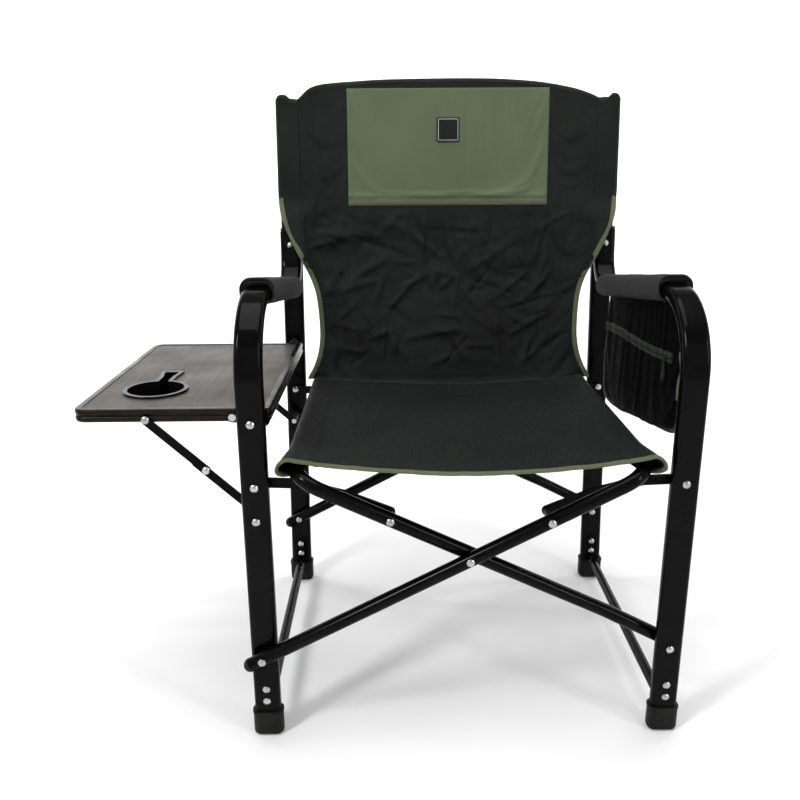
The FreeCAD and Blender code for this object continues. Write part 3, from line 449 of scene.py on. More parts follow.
# ---------------------------------------------------------------- simulation
def simulate(obj, pinned, frames, stretch=0.0, gravity=1.0, pressure=0.0, cap=0.02,
             stiffness=25.0, bending=0.5):
    """Run Cloth on obj with some points held, then keep the result, no point having moved more than cap."""
    group = obj.vertex_groups.new(name="held")
    for index, weight in pinned:
        group.add([index], weight, "REPLACE")
    rest = np.array([v.co for v in obj.data.vertices])
    modifier = obj.modifiers.new("cloth", "CLOTH")
    settings = modifier.settings
    settings.quality = 6
    settings.mass = 0.25
    settings.tension_stiffness = stiffness
    settings.compression_stiffness = stiffness
    settings.shear_stiffness = stiffness * 0.6
    settings.bending_stiffness = bending
    settings.tension_damping = 12.0
    settings.air_damping = 2.0
    settings.vertex_group_mass = "held"
    settings.shrink_min = -stretch
    settings.shrink_max = -stretch
    settings.effector_weights.gravity = gravity
    if pressure:
        settings.use_pressure = True
        settings.uniform_pressure_force = pressure
    modifier.collision_settings.use_collision = False
    modifier.collision_settings.use_self_collision = False
    scene.frame_start = 1
    scene.frame_end = frames
    modifier.point_cache.frame_start = 1
    modifier.point_cache.frame_end = frames
    for number in range(1, frames + 1):
        scene.frame_set(number)
    graph = bpy.context.evaluated_depsgraph_get()
    result = obj.evaluated_get(graph)
    moved = np.array([v.co for v in result.data.vertices])
    step = moved - rest
    length = np.linalg.norm(step, axis=1)
    scale = np.minimum(1.0, cap / np.maximum(length, 1e-9))
    obj.modifiers.clear()
    obj.data.vertices.foreach_set("co", (rest + step * scale[:, None]).ravel())
    obj.data.update()
    scene.frame_set(1)
    return obj


# ---------------------------------------------------------------- back
POST_X = 0.2925
SPLIT_X = 0.2705              # the pockets' inner edges
LEAN = 0.1
BACK_BOTTOM = (0.214, 0.4365)
RAIL_TOP = 0.4250             # the back's lower corners rest here, just above the rails
FLAP_BOTTOM = 0.4055
BACK_KNEE = (0.2906, 0.700)
BACK_SIDE = [(0.428, 0.262), (0.450, 0.250), (0.476, 0.242), (0.510, 0.239), (0.573, 0.245), (0.610, 0.257),
             (0.640, 0.271), (0.672, 0.288), (0.703, 0.302), (0.742, 0.3120), (0.800, 0.3130),
             (0.940, 0.3130)]
BACK_TOP_LEFT = [(0.0, 0.957), (0.080, 0.9562), (0.130, 0.955), (0.172, 0.9525), (0.205, 0.9505), (0.235, 0.947),
                 (0.252, 0.941), (0.266, 0.929), (0.278, 0.9195), (0.286, 0.922), (0.293, 0.929), (0.303, 0.9305),
                 (0.3095, 0.928), (0.3130, 0.922)]
BACK_TOP_RIGHT = [(0.0, 0.957), (0.080, 0.9562), (0.130, 0.9535), (0.172, 0.9495), (0.226, 0.940), (0.258, 0.930),
                  (0.275, 0.9225), (0.285, 0.9195), (0.2915, 0.9235), (0.297, 0.9295), (0.304, 0.9305),
                  (0.3095, 0.928), (0.3130, 0.922)]
ROWS, COLUMNS = 132, 165


def back_line(z):
    """Middle of the back sheet, front to back, at height z, before any bulge."""
    if z < BACK_BOTTOM[1]:
        return BACK_BOTTOM[0] - 0.0035 * (1 - (z - FLAP_BOTTOM) / (BACK_BOTTOM[1] - FLAP_BOTTOM))
    rise = (z - BACK_BOTTOM[1]) * (BACK_KNEE[0] - BACK_BOTTOM[0])
    low = BACK_BOTTOM[0] + rise / (BACK_KNEE[1] - BACK_BOTTOM[1])
    high = BACK_KNEE[0] + (z - BACK_KNEE[1]) * 0.0996
    t = float(smooth(z, 0.672, 0.728))
    return low * (1 - t) + high * t


def back_front(x, z):
    """Where the visible cloth lies: ahead of the posts, and swelling forward over the ends of the arm tubes."""
    over_post = float(smooth(abs(x), 0.225, 0.2745) * smooth(z, 0.690, 0.715))
    over_arm = smooth(abs(x), 0.240, 0.270) * smooth(z, 0.755, 0.705) * smooth(z, 0.585, 0.650)
    plain = back_line(z) - 0.0022 - 0.021 * float(over_arm)
    return plain * (1 - over_post) + min(plain, post_centre(z) - 0.0146) * over_post


def post_centre(z):
    return 0.231 + LEAN * z


def back_low(x):
    """Lower edge of the back. A flap between the rails hangs down behind the seat."""
    return RAIL_TOP + (FLAP_BOTTOM - RAIL_TOP) * float(smooth(abs(x), 0.213, 0.206))


def back_grid():
    points = np.zeros((ROWS, COLUMNS, 3))
    for r in range(ROWS):
        v = r / (ROWS - 1)
        for c in range(COLUMNS):
            u = 2.0 * c / (COLUMNS - 1) - 1.0
            z = BACK_BOTTOM[1] + v * 0.5
            x = 0.0
            for _ in range(6):
                x = u * through(BACK_SIDE, z)
                low = back_low(x)
                z = low + v * (through(BACK_TOP_LEFT if x < 0 else BACK_TOP_RIGHT, abs(x)) - low)
            points[r, c] = (x, back_front(x, z), z)
    return points


def length_of(points):
    """Length of a line of points."""
    return float(np.linalg.norm(np.diff(points, axis=0), axis=1).sum())


def flat_size(grid, inside, faces):
    """Size a smooth sheet is cut to, before it creases: its widest row, its longest column, and its area."""
    width = max(length_of(row[kept]) for row, kept in zip(grid, inside))
    length = max(length_of(grid[:, c][inside[:, c]]) for c in range(grid.shape[1]))
    corner = grid.reshape(-1, 3)[np.array(faces)]
    diagonals = np.cross(corner[:, 2] - corner[:, 0], corner[:, 3] - corner[:, 1])
    return (width, length), 0.5 * float(np.linalg.norm(diagonals, axis=1).sum())


PANEL_X = 0.184
PANEL_Z = (0.735, 0.941)


def in_panel(x, z, margin=0.0):
    return abs(x) < PANEL_X + margin and PANEL_Z[0] - margin < z < PANEL_Z[1] + margin


def creases(count, box, seed, length=(0.03, 0.10), depth=(0.0012, 0.0028)):
    """Random fold lines left by packing: each is (middle, direction, half length, width, height)."""
    local = random.Random(seed)
    lines = []
    for _ in range(count):
        middle = (local.uniform(box[0], box[1]), local.uniform(box[2], box[3]))
        angle = local.choice((0.5, -0.6, 1.1, -1.2, 0.1)) + local.gauss(0, 0.35)
        lines.append((middle, (math.cos(angle), math.sin(angle)), local.uniform(*length) / 2,
                      local.uniform(0.003, 0.009), local.uniform(*depth) * local.choice((-1, 1, 1))))
    return lines


def crease_height(lines, x, z):
    total = 0.0
    for (mx, mz), (dx, dz), half, width, height in lines:
        along = (x - mx) * dx + (z - mz) * dz
        if abs(along) > half:
            continue
        across = -(x - mx) * dz + (z - mz) * dx
        if abs(across) > 4 * width:
            continue
        ends = 1 - (along / half) ** 2
        ridge = math.exp(-abs(across) / width) - 0.35 * math.exp(-(across / (2 * width)) ** 2)
        total += height * ends * ridge
    return total


back_rest = back_grid()
verts = back_rest.reshape(-1, 3).copy()
uv_back = [(float(p[0]), float(p[2]) * 1.02) for p in verts]
pins = []
for i, (x, y, z) in enumerate(verts):
    row, column = divmod(i, COLUMNS)
    edge = column in (0, COLUMNS - 1) or row in (0, ROWS - 1)
    if edge or abs(x) > SPLIT_X - 0.004 or in_panel(x, z, 0.004):
        pins.append((i, 1.0))
    else:
        verts[i][1] += 0.0012 * fbm(x * 14, z * 14, 3.0)
back = mesh_object("back_centre", verts, grid_faces(ROWS, COLUMNS), uv_back)
simulate(back, pins, 26, stretch=0.012, gravity=1.0, cap=0.014, stiffness=18.0, bending=0.6)
co = np.array([v.co for v in back.data.vertices])
fold_lines = creases(120, (-0.25, 0.25, 0.455, 0.73), 11, (0.035, 0.13), (0.0045, 0.0105))
held = {i for i, _ in pins}
for i, (x, y, z) in enumerate(back_rest.reshape(-1, 3)):
    side = through(BACK_SIDE, z) - abs(x)
    calm = float(smooth(side, 0.004, 0.03) * smooth(z, 0.440, 0.466)
                 * smooth(z, PANEL_Z[0] - 0.004, PANEL_Z[0] - 0.02))
    if calm > 0 and i not in held:
        co[i][1] -= crease_height(fold_lines, x, z) * calm
        co[i][1] -= 0.005 * calm * fbm(x * 9 + 5, z * 13, 1.0)
    # Soft folds in the cloth beside the panel.
    beside = float(smooth(abs(x), PANEL_X + 0.006, PANEL_X + 0.03)
                   * smooth(abs(x), SPLIT_X - 0.002, SPLIT_X - 0.02))
    if z > 0.70 and beside > 0:
        co[i][1] -= 0.0045 * beside * fbm(x * 26, z * 7, 8.0)
back.data.vertices.foreach_set("co", co.ravel())
back.data.update()
back_points = co.reshape(ROWS, COLUMNS, 3)


def back_normal(r, c):
    a = Vector(back_points[r, min(c + 1, COLUMNS - 1)]) - Vector(back_points[r, max(c - 1, 0)])
    b = Vector(back_points[min(r + 1, ROWS - 1), c]) - Vector(back_points[max(r - 1, 0), c])
    n = a.cross(b).normalized()
    return n if n.y < 0 else -n


def back_at(x, z):
    """Point and normal of the finished back nearest to (x, z)."""
    near = (back_points[:, :, 0] - x) ** 2 + (back_points[:, :, 2] - z) ** 2
    r, c = np.unravel_index(np.argmin(near), near.shape)
    n = back_normal(r, c)
    p = Vector(back_points[r, c])
    return Vector((x, p.y - ((x - p.x) * n.x + (z - p.z) * n.z) / n.y, z)), n


def part_of_back(name, wanted):
    """Cut the finished sheet near the pockets' inner edges. The middle part tucks in behind the outer parts."""
    keep = []
    for face in grid_faces(ROWS, COLUMNS):
        middle = sum(back_points.reshape(-1, 3)[i][0] for i in face) / 4
        if wanted(middle):
            keep.append(face)
    used = sorted({i for face in keep for i in face})
    order = {old: new for new, old in enumerate(used)}
    flat = back_points.reshape(-1, 3).copy()
    if wanted(0.0):
        flat[:, 1] += 0.0005 * smooth(np.abs(flat[:, 0]), SPLIT_X - 0.004, SPLIT_X)
    obj = mesh_object(name, [flat[i] for i in used], [tuple(order[i] for i in f) for f in keep],
                      [uv_back[i] for i in used])
    inside = np.zeros(ROWS * COLUMNS, dtype=bool)
    inside[used] = True
    cut, area = flat_size(back_rest, inside.reshape(ROWS, COLUMNS), keep)
    return paint(thicken(obj, 0.0013), black_cloth), cut, area


bpy.data.objects.remove(back)


def fold_with_back(obj):
    """Ride on the left frame, with a mesh of its own."""
    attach(obj, "left_frame")
    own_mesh(obj)
    return obj


back_centre, centre_cut, centre_area = part_of_back("back_centre", lambda x: abs(x) < SPLIT_X + 0.006)
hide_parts("back_fabric")
fold_with_back(back_centre)
for side, body in ((-1, "left_frame"), (1, "right_frame")):
    label = "left" if side < 0 else "right"
    wing, wing_cut, wing_area = part_of_back(f"back_{label}_wing", lambda x, s=side: x * s >= SPLIT_X)
    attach(wing, body)


def post_pocket(side):
    """Sleeve over the top of a post, with a soft rounded ear."""
    rings, uvs = [], []
    steps = [0.715, 0.716, 0.75, 0.79, 0.83, 0.87, 0.89, 0.905, 0.915, 0.921, 0.9238, 0.925]
    grow = [0.9975, 1.0, 1.0, 1.005, 1.0, 1.004, 1.0, 0.99, 0.955, 0.88, 0.72, 0.35]
    for z, g in zip(steps, grow):
        ring = []
        for k, (px, py) in enumerate(rounded_ring(0.0426 * g, 0.0262 * g, 0.0108 * g, 40)):
            wave = 0.0005 * fbm(px * 60 + side, z * 30, py * 60)
            slant = 0.022 * smooth(-side * px, 0.02, -0.02) if z < 0.72 else 0.0
            ring.append(Vector((side * POST_X + px + wave, post_centre(z) + py + wave, z + float(slant))))
            uvs.append((k * 0.0031, z))
        rings.append(ring)
    obj = loft(f"{'left' if side < 0 else 'right'}_post_pocket", rings, uvs)
    cap = bmesh.new()
    cap.from_mesh(obj.data)
    cap.verts.ensure_lookup_table()
    last = [cap.verts[(len(rings) - 1) * 40 + k] for k in range(40)]
    cap.faces.new(last)
    bmesh.ops.recalc_face_normals(cap, faces=cap.faces)
    cap.to_mesh(obj.data)
    cap.free()
    for face in obj.data.polygons:
        face.use_smooth = True
    thicken(obj, 0.0009, -1.0)
    return paint(obj, black_cloth)


for side, body in ((-1, "left_frame"), (1, "right_frame")):
    pocket = post_pocket(side)
    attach(pocket, body)


# Edge tapes of the back: green below the pockets, dark round the pockets and along the top.
def back_edge(rows, column):
    step = 1 if column == 0 else -1
    points = [Vector(back_points[r, column]) for r in rows]
    inward = []
    for r in rows:
        d = Vector(back_points[r, column + 3 * step]) - Vector(back_points[r, column])
        inward.append(d.normalized())
    return points, inward, [back_normal(r, column) for r in rows]


def split_rows(column):
    """Rows of a side edge that lie inside the pockets' line, and those outside it up to the green tape's end."""
    inside = [r for r in range(ROWS)
              if abs(back_points[r, column][0]) <= SPLIT_X + 0.001 and back_points[r, column][2] < 0.70]
    outside = [r for r in range(inside[-1], ROWS) if back_points[r, column][2] < 0.748]
    above = [r for r in range(outside[-1], ROWS)]
    return inside, outside, above


for column, label, body in ((0, "left", "left_frame"), (COLUMNS - 1, "right", "right_frame")):
    inside, outside, above = split_rows(column)
    low_tape = paint(tape(f"back_{label}_low_tape", *back_edge(inside, column), 0.0095, 0.0034), green_tape)
    fold_with_back(low_tape)
    high_tape = paint(tape(f"back_{label}_high_tape", *back_edge(outside, column), 0.0095, 0.0034), green_tape)
    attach(high_tape, body)
    side_tape = paint(tape(f"back_{label}_side_tape", *back_edge(above, column), 0.006, 0.0036), dark_tape)
    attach(side_tape, body)


def top_edge(columns):
    top = ROWS - 1
    points = [Vector(back_points[top, c]) for c in columns]
    inward = [(Vector(back_points[top - 3, c]) - Vector(back_points[top, c])).normalized() for c in columns]
    return points, inward, [back_normal(top, c) for c in columns]


middle_columns = [c for c in range(COLUMNS) if abs(back_points[ROWS - 1, c][0]) <= SPLIT_X]
top_tape = paint(tape("back_top_tape", *top_edge(middle_columns), 0.0075, 0.0042), dark_tape)
fold_with_back(top_tape)
for label, body, columns in (("left", "left_frame", range(0, middle_columns[0] + 1)),
                             ("right", "right_frame", range(middle_columns[-1], COLUMNS))):
    ear_tape = paint(tape(f"back_{label}_ear_tape", *top_edge(columns), 0.0065, 0.0042), dark_tape)
    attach(ear_tape, body)


# ---------------------------------------------------------------- green head panel
HEM_Z = PANEL_Z[0] + 0.0125


def head_panel():
    """Padded panel: its front swells between the stitched border and the hem line near its foot."""
    columns, rows = 112, 66
    count = columns * rows
    points, uvs = [], []
    for layer in (0, 1):
        for r in range(rows):
            z = PANEL_Z[0] + (PANEL_Z[1] - PANEL_Z[0]) * r / (rows - 1)
            for c in range(columns):
                x = PANEL_X * (2 * c / (columns - 1) - 1)
                y = back_line(z) - 0.0022 - 0.0008
                if layer == 0:
                    border = min(PANEL_X - abs(x), z - PANEL_Z[0], PANEL_Z[1] - z)
                    y -= 0.0008 + 0.0022 * float(smooth(border, 0.0, 0.008))
                    y -= 0.0014 * float(smooth(border, 0.006, 0.03)) * (0.5 + 0.5 * fbm(x * 10, z * 10, 2.0))
                points.append((x, y, z))
                uvs.append((x, z))
    faces = grid_faces(rows, columns)
    back_faces = [tuple(i + count for i in reversed(f)) for f in faces]
    rim = []
    loop = [c for c in range(columns)] + [r * columns + columns - 1 for r in range(1, rows)]
    loop += [(rows - 1) * columns + c for c in reversed(range(columns - 1))]
    loop += [r * columns for r in reversed(range(1, rows - 1))]
    for a, b in zip(loop, loop[1:] + loop[:1]):
        rim.append((a, a + count, b + count, b))
    obj = mesh_object("head_panel_pad", points, faces + back_faces + rim, uvs)
    tidy = bmesh.new()
    tidy.from_mesh(obj.data)
    bmesh.ops.recalc_face_normals(tidy, faces=tidy.faces)
    tidy.to_mesh(obj.data)
    tidy.free()
    pinned = []
    for i, (x, y, z) in enumerate(points):
        border = min(PANEL_X - abs(x), z - PANEL_Z[0], PANEL_Z[1] - z)
        if i >= count or border < 0.0035 or abs(z - HEM_Z) < 0.0018:
            pinned.append((i, 1.0))
    simulate(obj, pinned, 18, stretch=0.007, gravity=0.3, pressure=0.9, cap=0.0065,
             stiffness=20.0, bending=0.4)
    floor_y = [back_line(p[2]) - 0.0032 for p in points[:count]]
    for i in range(count):
        x, z = points[i][0], points[i][2]
        vertex = obj.data.vertices[i].co
        seam = math.exp(-((z - HEM_Z) / 0.0022) ** 2)
        pucker = math.exp(-((z - HEM_Z - 0.006) / 0.006) ** 2) * (0.6 + 0.8 * fbm(x * 16, 4.0, 1.0))
        vertex.y += 0.0022 * seam - 0.0034 * pucker
        vertex.y = min(vertex.y, floor_y[i])
    obj.data.update()
    return paint(obj, green_cloth)


pad = head_panel()
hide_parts("head_panel")
fold_with_back(pad)


def pad_front(x, z, lift=0.0):
    """Point on the pad's front face."""
    best = min(pad.data.vertices, key=lambda v: (v.co.x - x) ** 2 + (v.co.z - z) ** 2
               + (0 if v.co.y < back_line(v.co.z) - 0.0031 else 1))
    return Vector((x, best.co.y - lift, z))


# Plain square label in place of the maker's patch.
LABEL = (0.0, 0.869, 0.0205)
label_y = min(v.co.y for v in pad.data.vertices
              if abs(v.co.x - LABEL[0]) < 0.02 and abs(v.co.z - LABEL[1]) < 0.02)


def label_piece(name, half, thickness, lift, inner=None):
    mesh = bmesh.new()
    rings = []
    for size, depth in ((half, 0.0), (half, thickness * 0.7), (half - 0.0006, thickness)):
        rings.append([mesh.verts.new((LABEL[0] + px, label_y + 0.0018 - lift - depth + (pz * 0.0996),
                                      LABEL[1] + pz))
                      for px, pz in rounded_ring(2 * size, 2 * size * 1.03, 0.002, 32)])
    for low, high in zip(rings[:-1], rings[1:]):
        for k in range(32):
            mesh.faces.new((low[k], low[(k + 1) % 32], high[(k + 1) % 32], high[k]))
    if inner is None:
        mesh.faces.new(rings[-1])
        mesh.faces.new(list(reversed(rings[0])))
    else:
        hole = []
        for depth in (thickness, 0.0):
            hole.append([mesh.verts.new((LABEL[0] + px, label_y + 0.0018 - lift - depth + (pz * 0.0996),
                                         LABEL[1] + pz))
                         for px, pz in rounded_ring(2 * inner, 2 * inner * 1.03, 0.0015, 32)])
        for a, b in ((rings[-1], hole[0]), (hole[0], hole[1]), (hole[1], rings[0])):
            for k in range(32):
                mesh.faces.new((a[k], a[(k + 1) % 32], b[(k + 1) % 32], b[k]))
    bmesh.ops.recalc_face_normals(mesh, faces=mesh.faces)
    data = bpy.data.meshes.new(name)
    mesh.to_mesh(data)
    mesh.free()
    obj = bpy.data.objects.new(name, data)
    scene.collection.objects.link(obj)
    return obj


label = paint(label_piece("plain_label", LABEL[2], 0.0022, 0.0), label_face)
fold_with_back(label)
border = paint(label_piece("plain_label_border", LABEL[2] - 0.0022, 0.0004, 0.0021, LABEL[2] - 0.0031),
               label_edge)
fold_with_back(border)


# ---------------------------------------------------------------- seams of the back
def seam_run(points):
    run = []
    for x, z in points:
        p, n = back_at(x, z)
        run.append((p + n * 0.0008, n))
    return run


runs = []
for side in (-1, 1):
    for offset in (0.0, 0.004):
        x0 = side * (PANEL_X - 0.001 + offset)
        runs.append(seam_run([(x0 - side * 0.012 * t, PANEL_Z[0] - 0.002 - t * 0.285)
                              for t in np.linspace(0, 1, 90)]))
back_seams = paint(stitches("back_seams", runs), thread)
fold_with_back(back_seams)

border_runs = []
for inset in (0.0028,):
    x1, z0, z1 = PANEL_X - inset, PANEL_Z[0] + inset, PANEL_Z[1] - inset
    front = Vector((0, -1, 0.0996)).normalized()
    corners = [(-x1, z0), (x1, z0), (x1, z1), (-x1, z1), (-x1, z0)]
    for (xa, za), (xb, zb) in zip(corners[:-1], corners[1:]):
        border_runs.append([(pad_front(xa + (xb - xa) * t, za + (zb - za) * t), front)
                            for t in np.linspace(0, 1, 24)])
hem = [(pad_front(-x1 + 2 * x1 * t, HEM_Z), front) for t in np.linspace(0, 1, 60)]
border_runs.append(hem)
panel_seams = paint(stitches("panel_seams", border_runs), green_thread)
fold_with_back(panel_seams)


# ---------------------------------------------------------------- seat
RAIL_X = 0.2405
RAIL_Z = 0.4158
SLEEVE_R = 0.0132
SEAT_Y = (-0.249, 0.207)
SAG = 0.0135
FLAP_X = 0.031


def flare(y):
    """The sleeves stand open round the rails at the front."""
    return float(smooth(y, -0.150, -0.249))


def seat_height(x, y):
    """Top of the sling between the rails."""
    share = 1 - (x / RAIL_X) ** 2
    return RAIL_Z + SLEEVE_R + 0.0065 * flare(y) - (SAG + 0.0075 * flare(y)) * share


def seat_section():
    """Half of the section at the -X rail, from the flap below to the top of the rail: (dx, dz, cut back)."""
    reach = math.hypot(FLAP_X, 0.0062)
    tangent = math.atan2(0.0062, FLAP_X) - math.acos(SLEEVE_R / reach)
    points = []
    for k in range(7):
        t = k / 6
        end = (SLEEVE_R * math.cos(tangent), SLEEVE_R * math.sin(tangent))
        points.append((FLAP_X + (end[0] - FLAP_X) * t, 0.0062 + (end[1] - 0.0062) * t, 1.0))
    turn = 1.5 * math.pi + tangent
    for k in range(1, 25):
        a = tangent - turn * k / 24
        points.append((SLEEVE_R * math.cos(a), SLEEVE_R * math.sin(a), float(smooth(a, -3.25, -1.2))))
    return points


def seat_fabric():
    """Sling with a sleeve round each rail. The sleeves are cut away below, where the rails bend down."""
    half = seat_section()
    across = [(-RAIL_X + dx, RAIL_Z + dz, cut, False) for dx, dz, cut in half]
    inner = 74
    for k in range(1, inner):
        across.append((-RAIL_X + 2 * RAIL_X * k / inner, None, 0.0, True))
    across += [(RAIL_X - dx, RAIL_Z + dz, cut, False) for dx, dz, cut in reversed(half)]
    rows, columns = 118, len(across)
    points, uvs = [], []
    for r in range(rows):
        travelled = 0.0
        before = None
        for x, z, cut, inside in across:
            front, rear = SEAT_Y[0] + 0.041 * cut, SEAT_Y[1] - 0.034 * cut
            y = front + (rear - front) * r / (rows - 1)
            if not inside:
                side = -1 if x < 0 else 1
                rim = 1 - cut
                dx, dz = (x - side * RAIL_X) * side, z - RAIL_Z
                x = side * (RAIL_X + dx * (1 + 0.34 * flare(y) * rim) + 0.0025 * flare(y) * rim)
                z = RAIL_Z + dz * (1 + 0.19 * flare(y) * rim) + 0.004 * flare(y) * rim
            else:
                z = seat_height(x, y)
                calm = float(smooth(RAIL_X - abs(x), 0.002, 0.04))
                back_end = float(smooth(y, 0.10, 0.19))
                z += calm * (0.0014 * fbm(x * 5, y * 6, 6.0) + 0.0026 * back_end * fbm(x * 9, y * 22, 2.0))
                # Shallow welts where the seat's hem is turned under near the back.
                z -= 0.0016 * calm * math.exp(-((y - 0.168) / 0.005) ** 2)
                z -= 0.0012 * calm * math.exp(-((y - 0.128) / 0.004) ** 2)
                # Lines of the stitching beside the sleeves.
                z -= 0.0012 * math.exp(-((RAIL_X - abs(x) - 0.031) / 0.0028) ** 2)
                z -= 0.0012 * float(smooth(y, -0.232, -0.249)) * (1 + fbm(x * 20, 1.0, 1.0))
            if before is not None:
                travelled += math.hypot(x - before[0], z - before[1])
            before = (x, z)
            points.append((x, y, z))
            uvs.append((travelled, y))
    faces = grid_faces(rows, columns)
    obj = mesh_object("seat_sling", points, faces, uvs)
    grid = np.array(points).reshape(rows, columns, 3)
    cut_size, area = flat_size(grid, np.ones((rows, columns), dtype=bool), faces)
    flaps = [cut > 0.999 for _, _, cut, _ in across]
    return paint(thicken(obj, 0.0013), black_cloth), grid, flaps, cut_size, area


seat, seat_points, seat_flaps, seat_cut, seat_area = seat_fabric()


def fold_with_seat(obj):
    """Bake the object's transform into its mesh; the seat pieces are not attached to either frame. On the chair,
    the left rail belongs to frame B and the right rail to frame A.
    """
    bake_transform(obj)
    return obj


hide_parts("seat_fabric")


def seat_edge(row, step):
    columns = [c for c, flap in enumerate(seat_flaps) if not flap]
    points = [Vector(seat_points[row, c]) for c in columns]
    inward, normals = [], []
    for c in columns:
        along = Vector(seat_points[row, min(c + 1, len(seat_flaps) - 1)]) - Vector(seat_points[row, max(c - 1, 0)])
        normal = Vector((-along.z, 0, along.x)).normalized()
        across = normal.cross(along).normalized()
        inward.append(across if across.y * step > 0 else -across)
        normals.append(normal)
    return points, inward, normals


front_tape = paint(tape("seat_front_tape", *seat_edge(0, 1), 0.0115, 0.0042), green_tape)
rear_tape = paint(tape("seat_rear_tape", *seat_edge(-1, -1), 0.0085, 0.0032), dark_tape)

seat_runs = []
for side in (-1, 1):
    for offset in (0.029, 0.033):
        x = side * (RAIL_X - offset)
        column = int(np.argmin(abs(seat_points[0, :, 0] - x) + 10 * np.array(seat_flaps)))
        run = [(Vector(seat_points[r, column]) + Vector((0, 0, 0.0007)), Vector((0, 0, 1)))
               for r in range(0, 118, 3)]
        seat_runs.append(run)
for row in (0, -1):
    inset = 0.0088 if row == 0 else -0.0075
    run = []
    for c, flap in enumerate(seat_flaps):
        if not flap and abs(seat_points[row, c][0]) < RAIL_X - 0.002:
            p = Vector(seat_points[row, c]) + Vector((0, inset, 0.0019))
            run.append((p, Vector((0, 0, 1))))
    seat_runs.append(run)
seat_seams = paint(stitches("seat_seams", seat_runs), thread)
for piece, slot in ((seat, "black_fabric"), (front_tape, "green_fabric"), (rear_tape, "black_fabric"),
                    (seat_seams, "black_fabric")):
    fold_with_seat(piece)


# ---------------------------------------------------------------- foam arm sleeves
ARM_FRONT, ARM_REAR = -0.128, 0.222


def arm_z(y):
    return 0.653 - 0.136 * (y + 0.231)


def foam_ring(y, inward, x_middle, count=56):
    """Ring between the sleeve's outside (0) and the arm tube (1)."""
    outside = rounded_ring(0.0498, 0.0378, 0.0165, count)
    inside = rounded_ring(0.0388, 0.0208, 0.0084, count)
    ring = []
    for (ox, oz), (ix, iz) in zip(outside, inside):
        px = ox + (ix - ox) * inward
        pz = (oz + 0.004) + (iz - oz - 0.004) * inward
        ring.append(Vector((x_middle + px, y + 0.13 * pz, arm_z(y) + pz)))
    return ring


def foam_sleeve(side):
    """Two layers of foam rolled round the arm, open at both ends."""
    lip = [(0.040, 0.97), (0.008, 0.90), (0.004, 0.66), (0.0008, 0.60), (0.0, 0.52), (0.0012, 0.46), (0.005, 0.43),
           (0.005, 0.37), (0.0, 0.33), (-0.0016, 0.26), (-0.0021, 0.16), (-0.0012, 0.07), (0.0012, 0.015)]
    rings = [foam_ring(ARM_FRONT + d, t, side * POST_X) for d, t in lip]
    lengths = np.linspace(ARM_FRONT + 0.004, ARM_REAR - 0.004, 46)
    for y in lengths:
        ring = foam_ring(y, 0.0, side * POST_X)
        for p in ring:
            squeeze = 0.0007 * fbm(y * 26 + side, p.z * 40, p.x * 40)
            p.x += squeeze
            p.z += squeeze - 0.0006 * abs(math.sin((y - ARM_FRONT) * 28 + side))
        rings.append(ring)
    rings += [foam_ring(ARM_REAR - d, t, side * POST_X) for d, t in reversed(lip)]
    count = len(rings[0])
    uvs = [(k * 0.003, r * 0.008) for r in range(len(rings)) for k in range(count)]
    obj = loft(f"{'left' if side < 0 else 'right'}_foam", rings, uvs, closed=True)
    return paint(obj, foam_skin)


for side, body in ((-1, "left_frame"), (1, "right_frame")):
    foam = foam_sleeve(side)
    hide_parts(f"{body[:-6]}_arm_foam_sleeve")
    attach(foam, body)


# ---------------------------------------------------------------- side pouch
POUCH_BOTTOM = [(-0.192, 0.470), (-0.184, 0.452), (-0.165, 0.4415), (-0.118, 0.4325), (-0.030, 0.419),
                (0.050, 0.404), (0.110, 0.394), (0.165, 0.3895), (0.198, 0.394), (0.213, 0.412), (0.2175, 0.440)]
POUCH_FRONT = [(0.440, -0.182), (0.470, -0.191), (0.530, -0.1925), (0.590, -0.190), (0.606, -0.178),
               (0.617, -0.160), (0.6245, -0.134), (0.640, -0.126)]
POUCH_REAR = [(0.400, 0.213), (0.460, 0.2165), (0.520, 0.208), (0.590, 0.204)]
POUCH_X = 0.2925


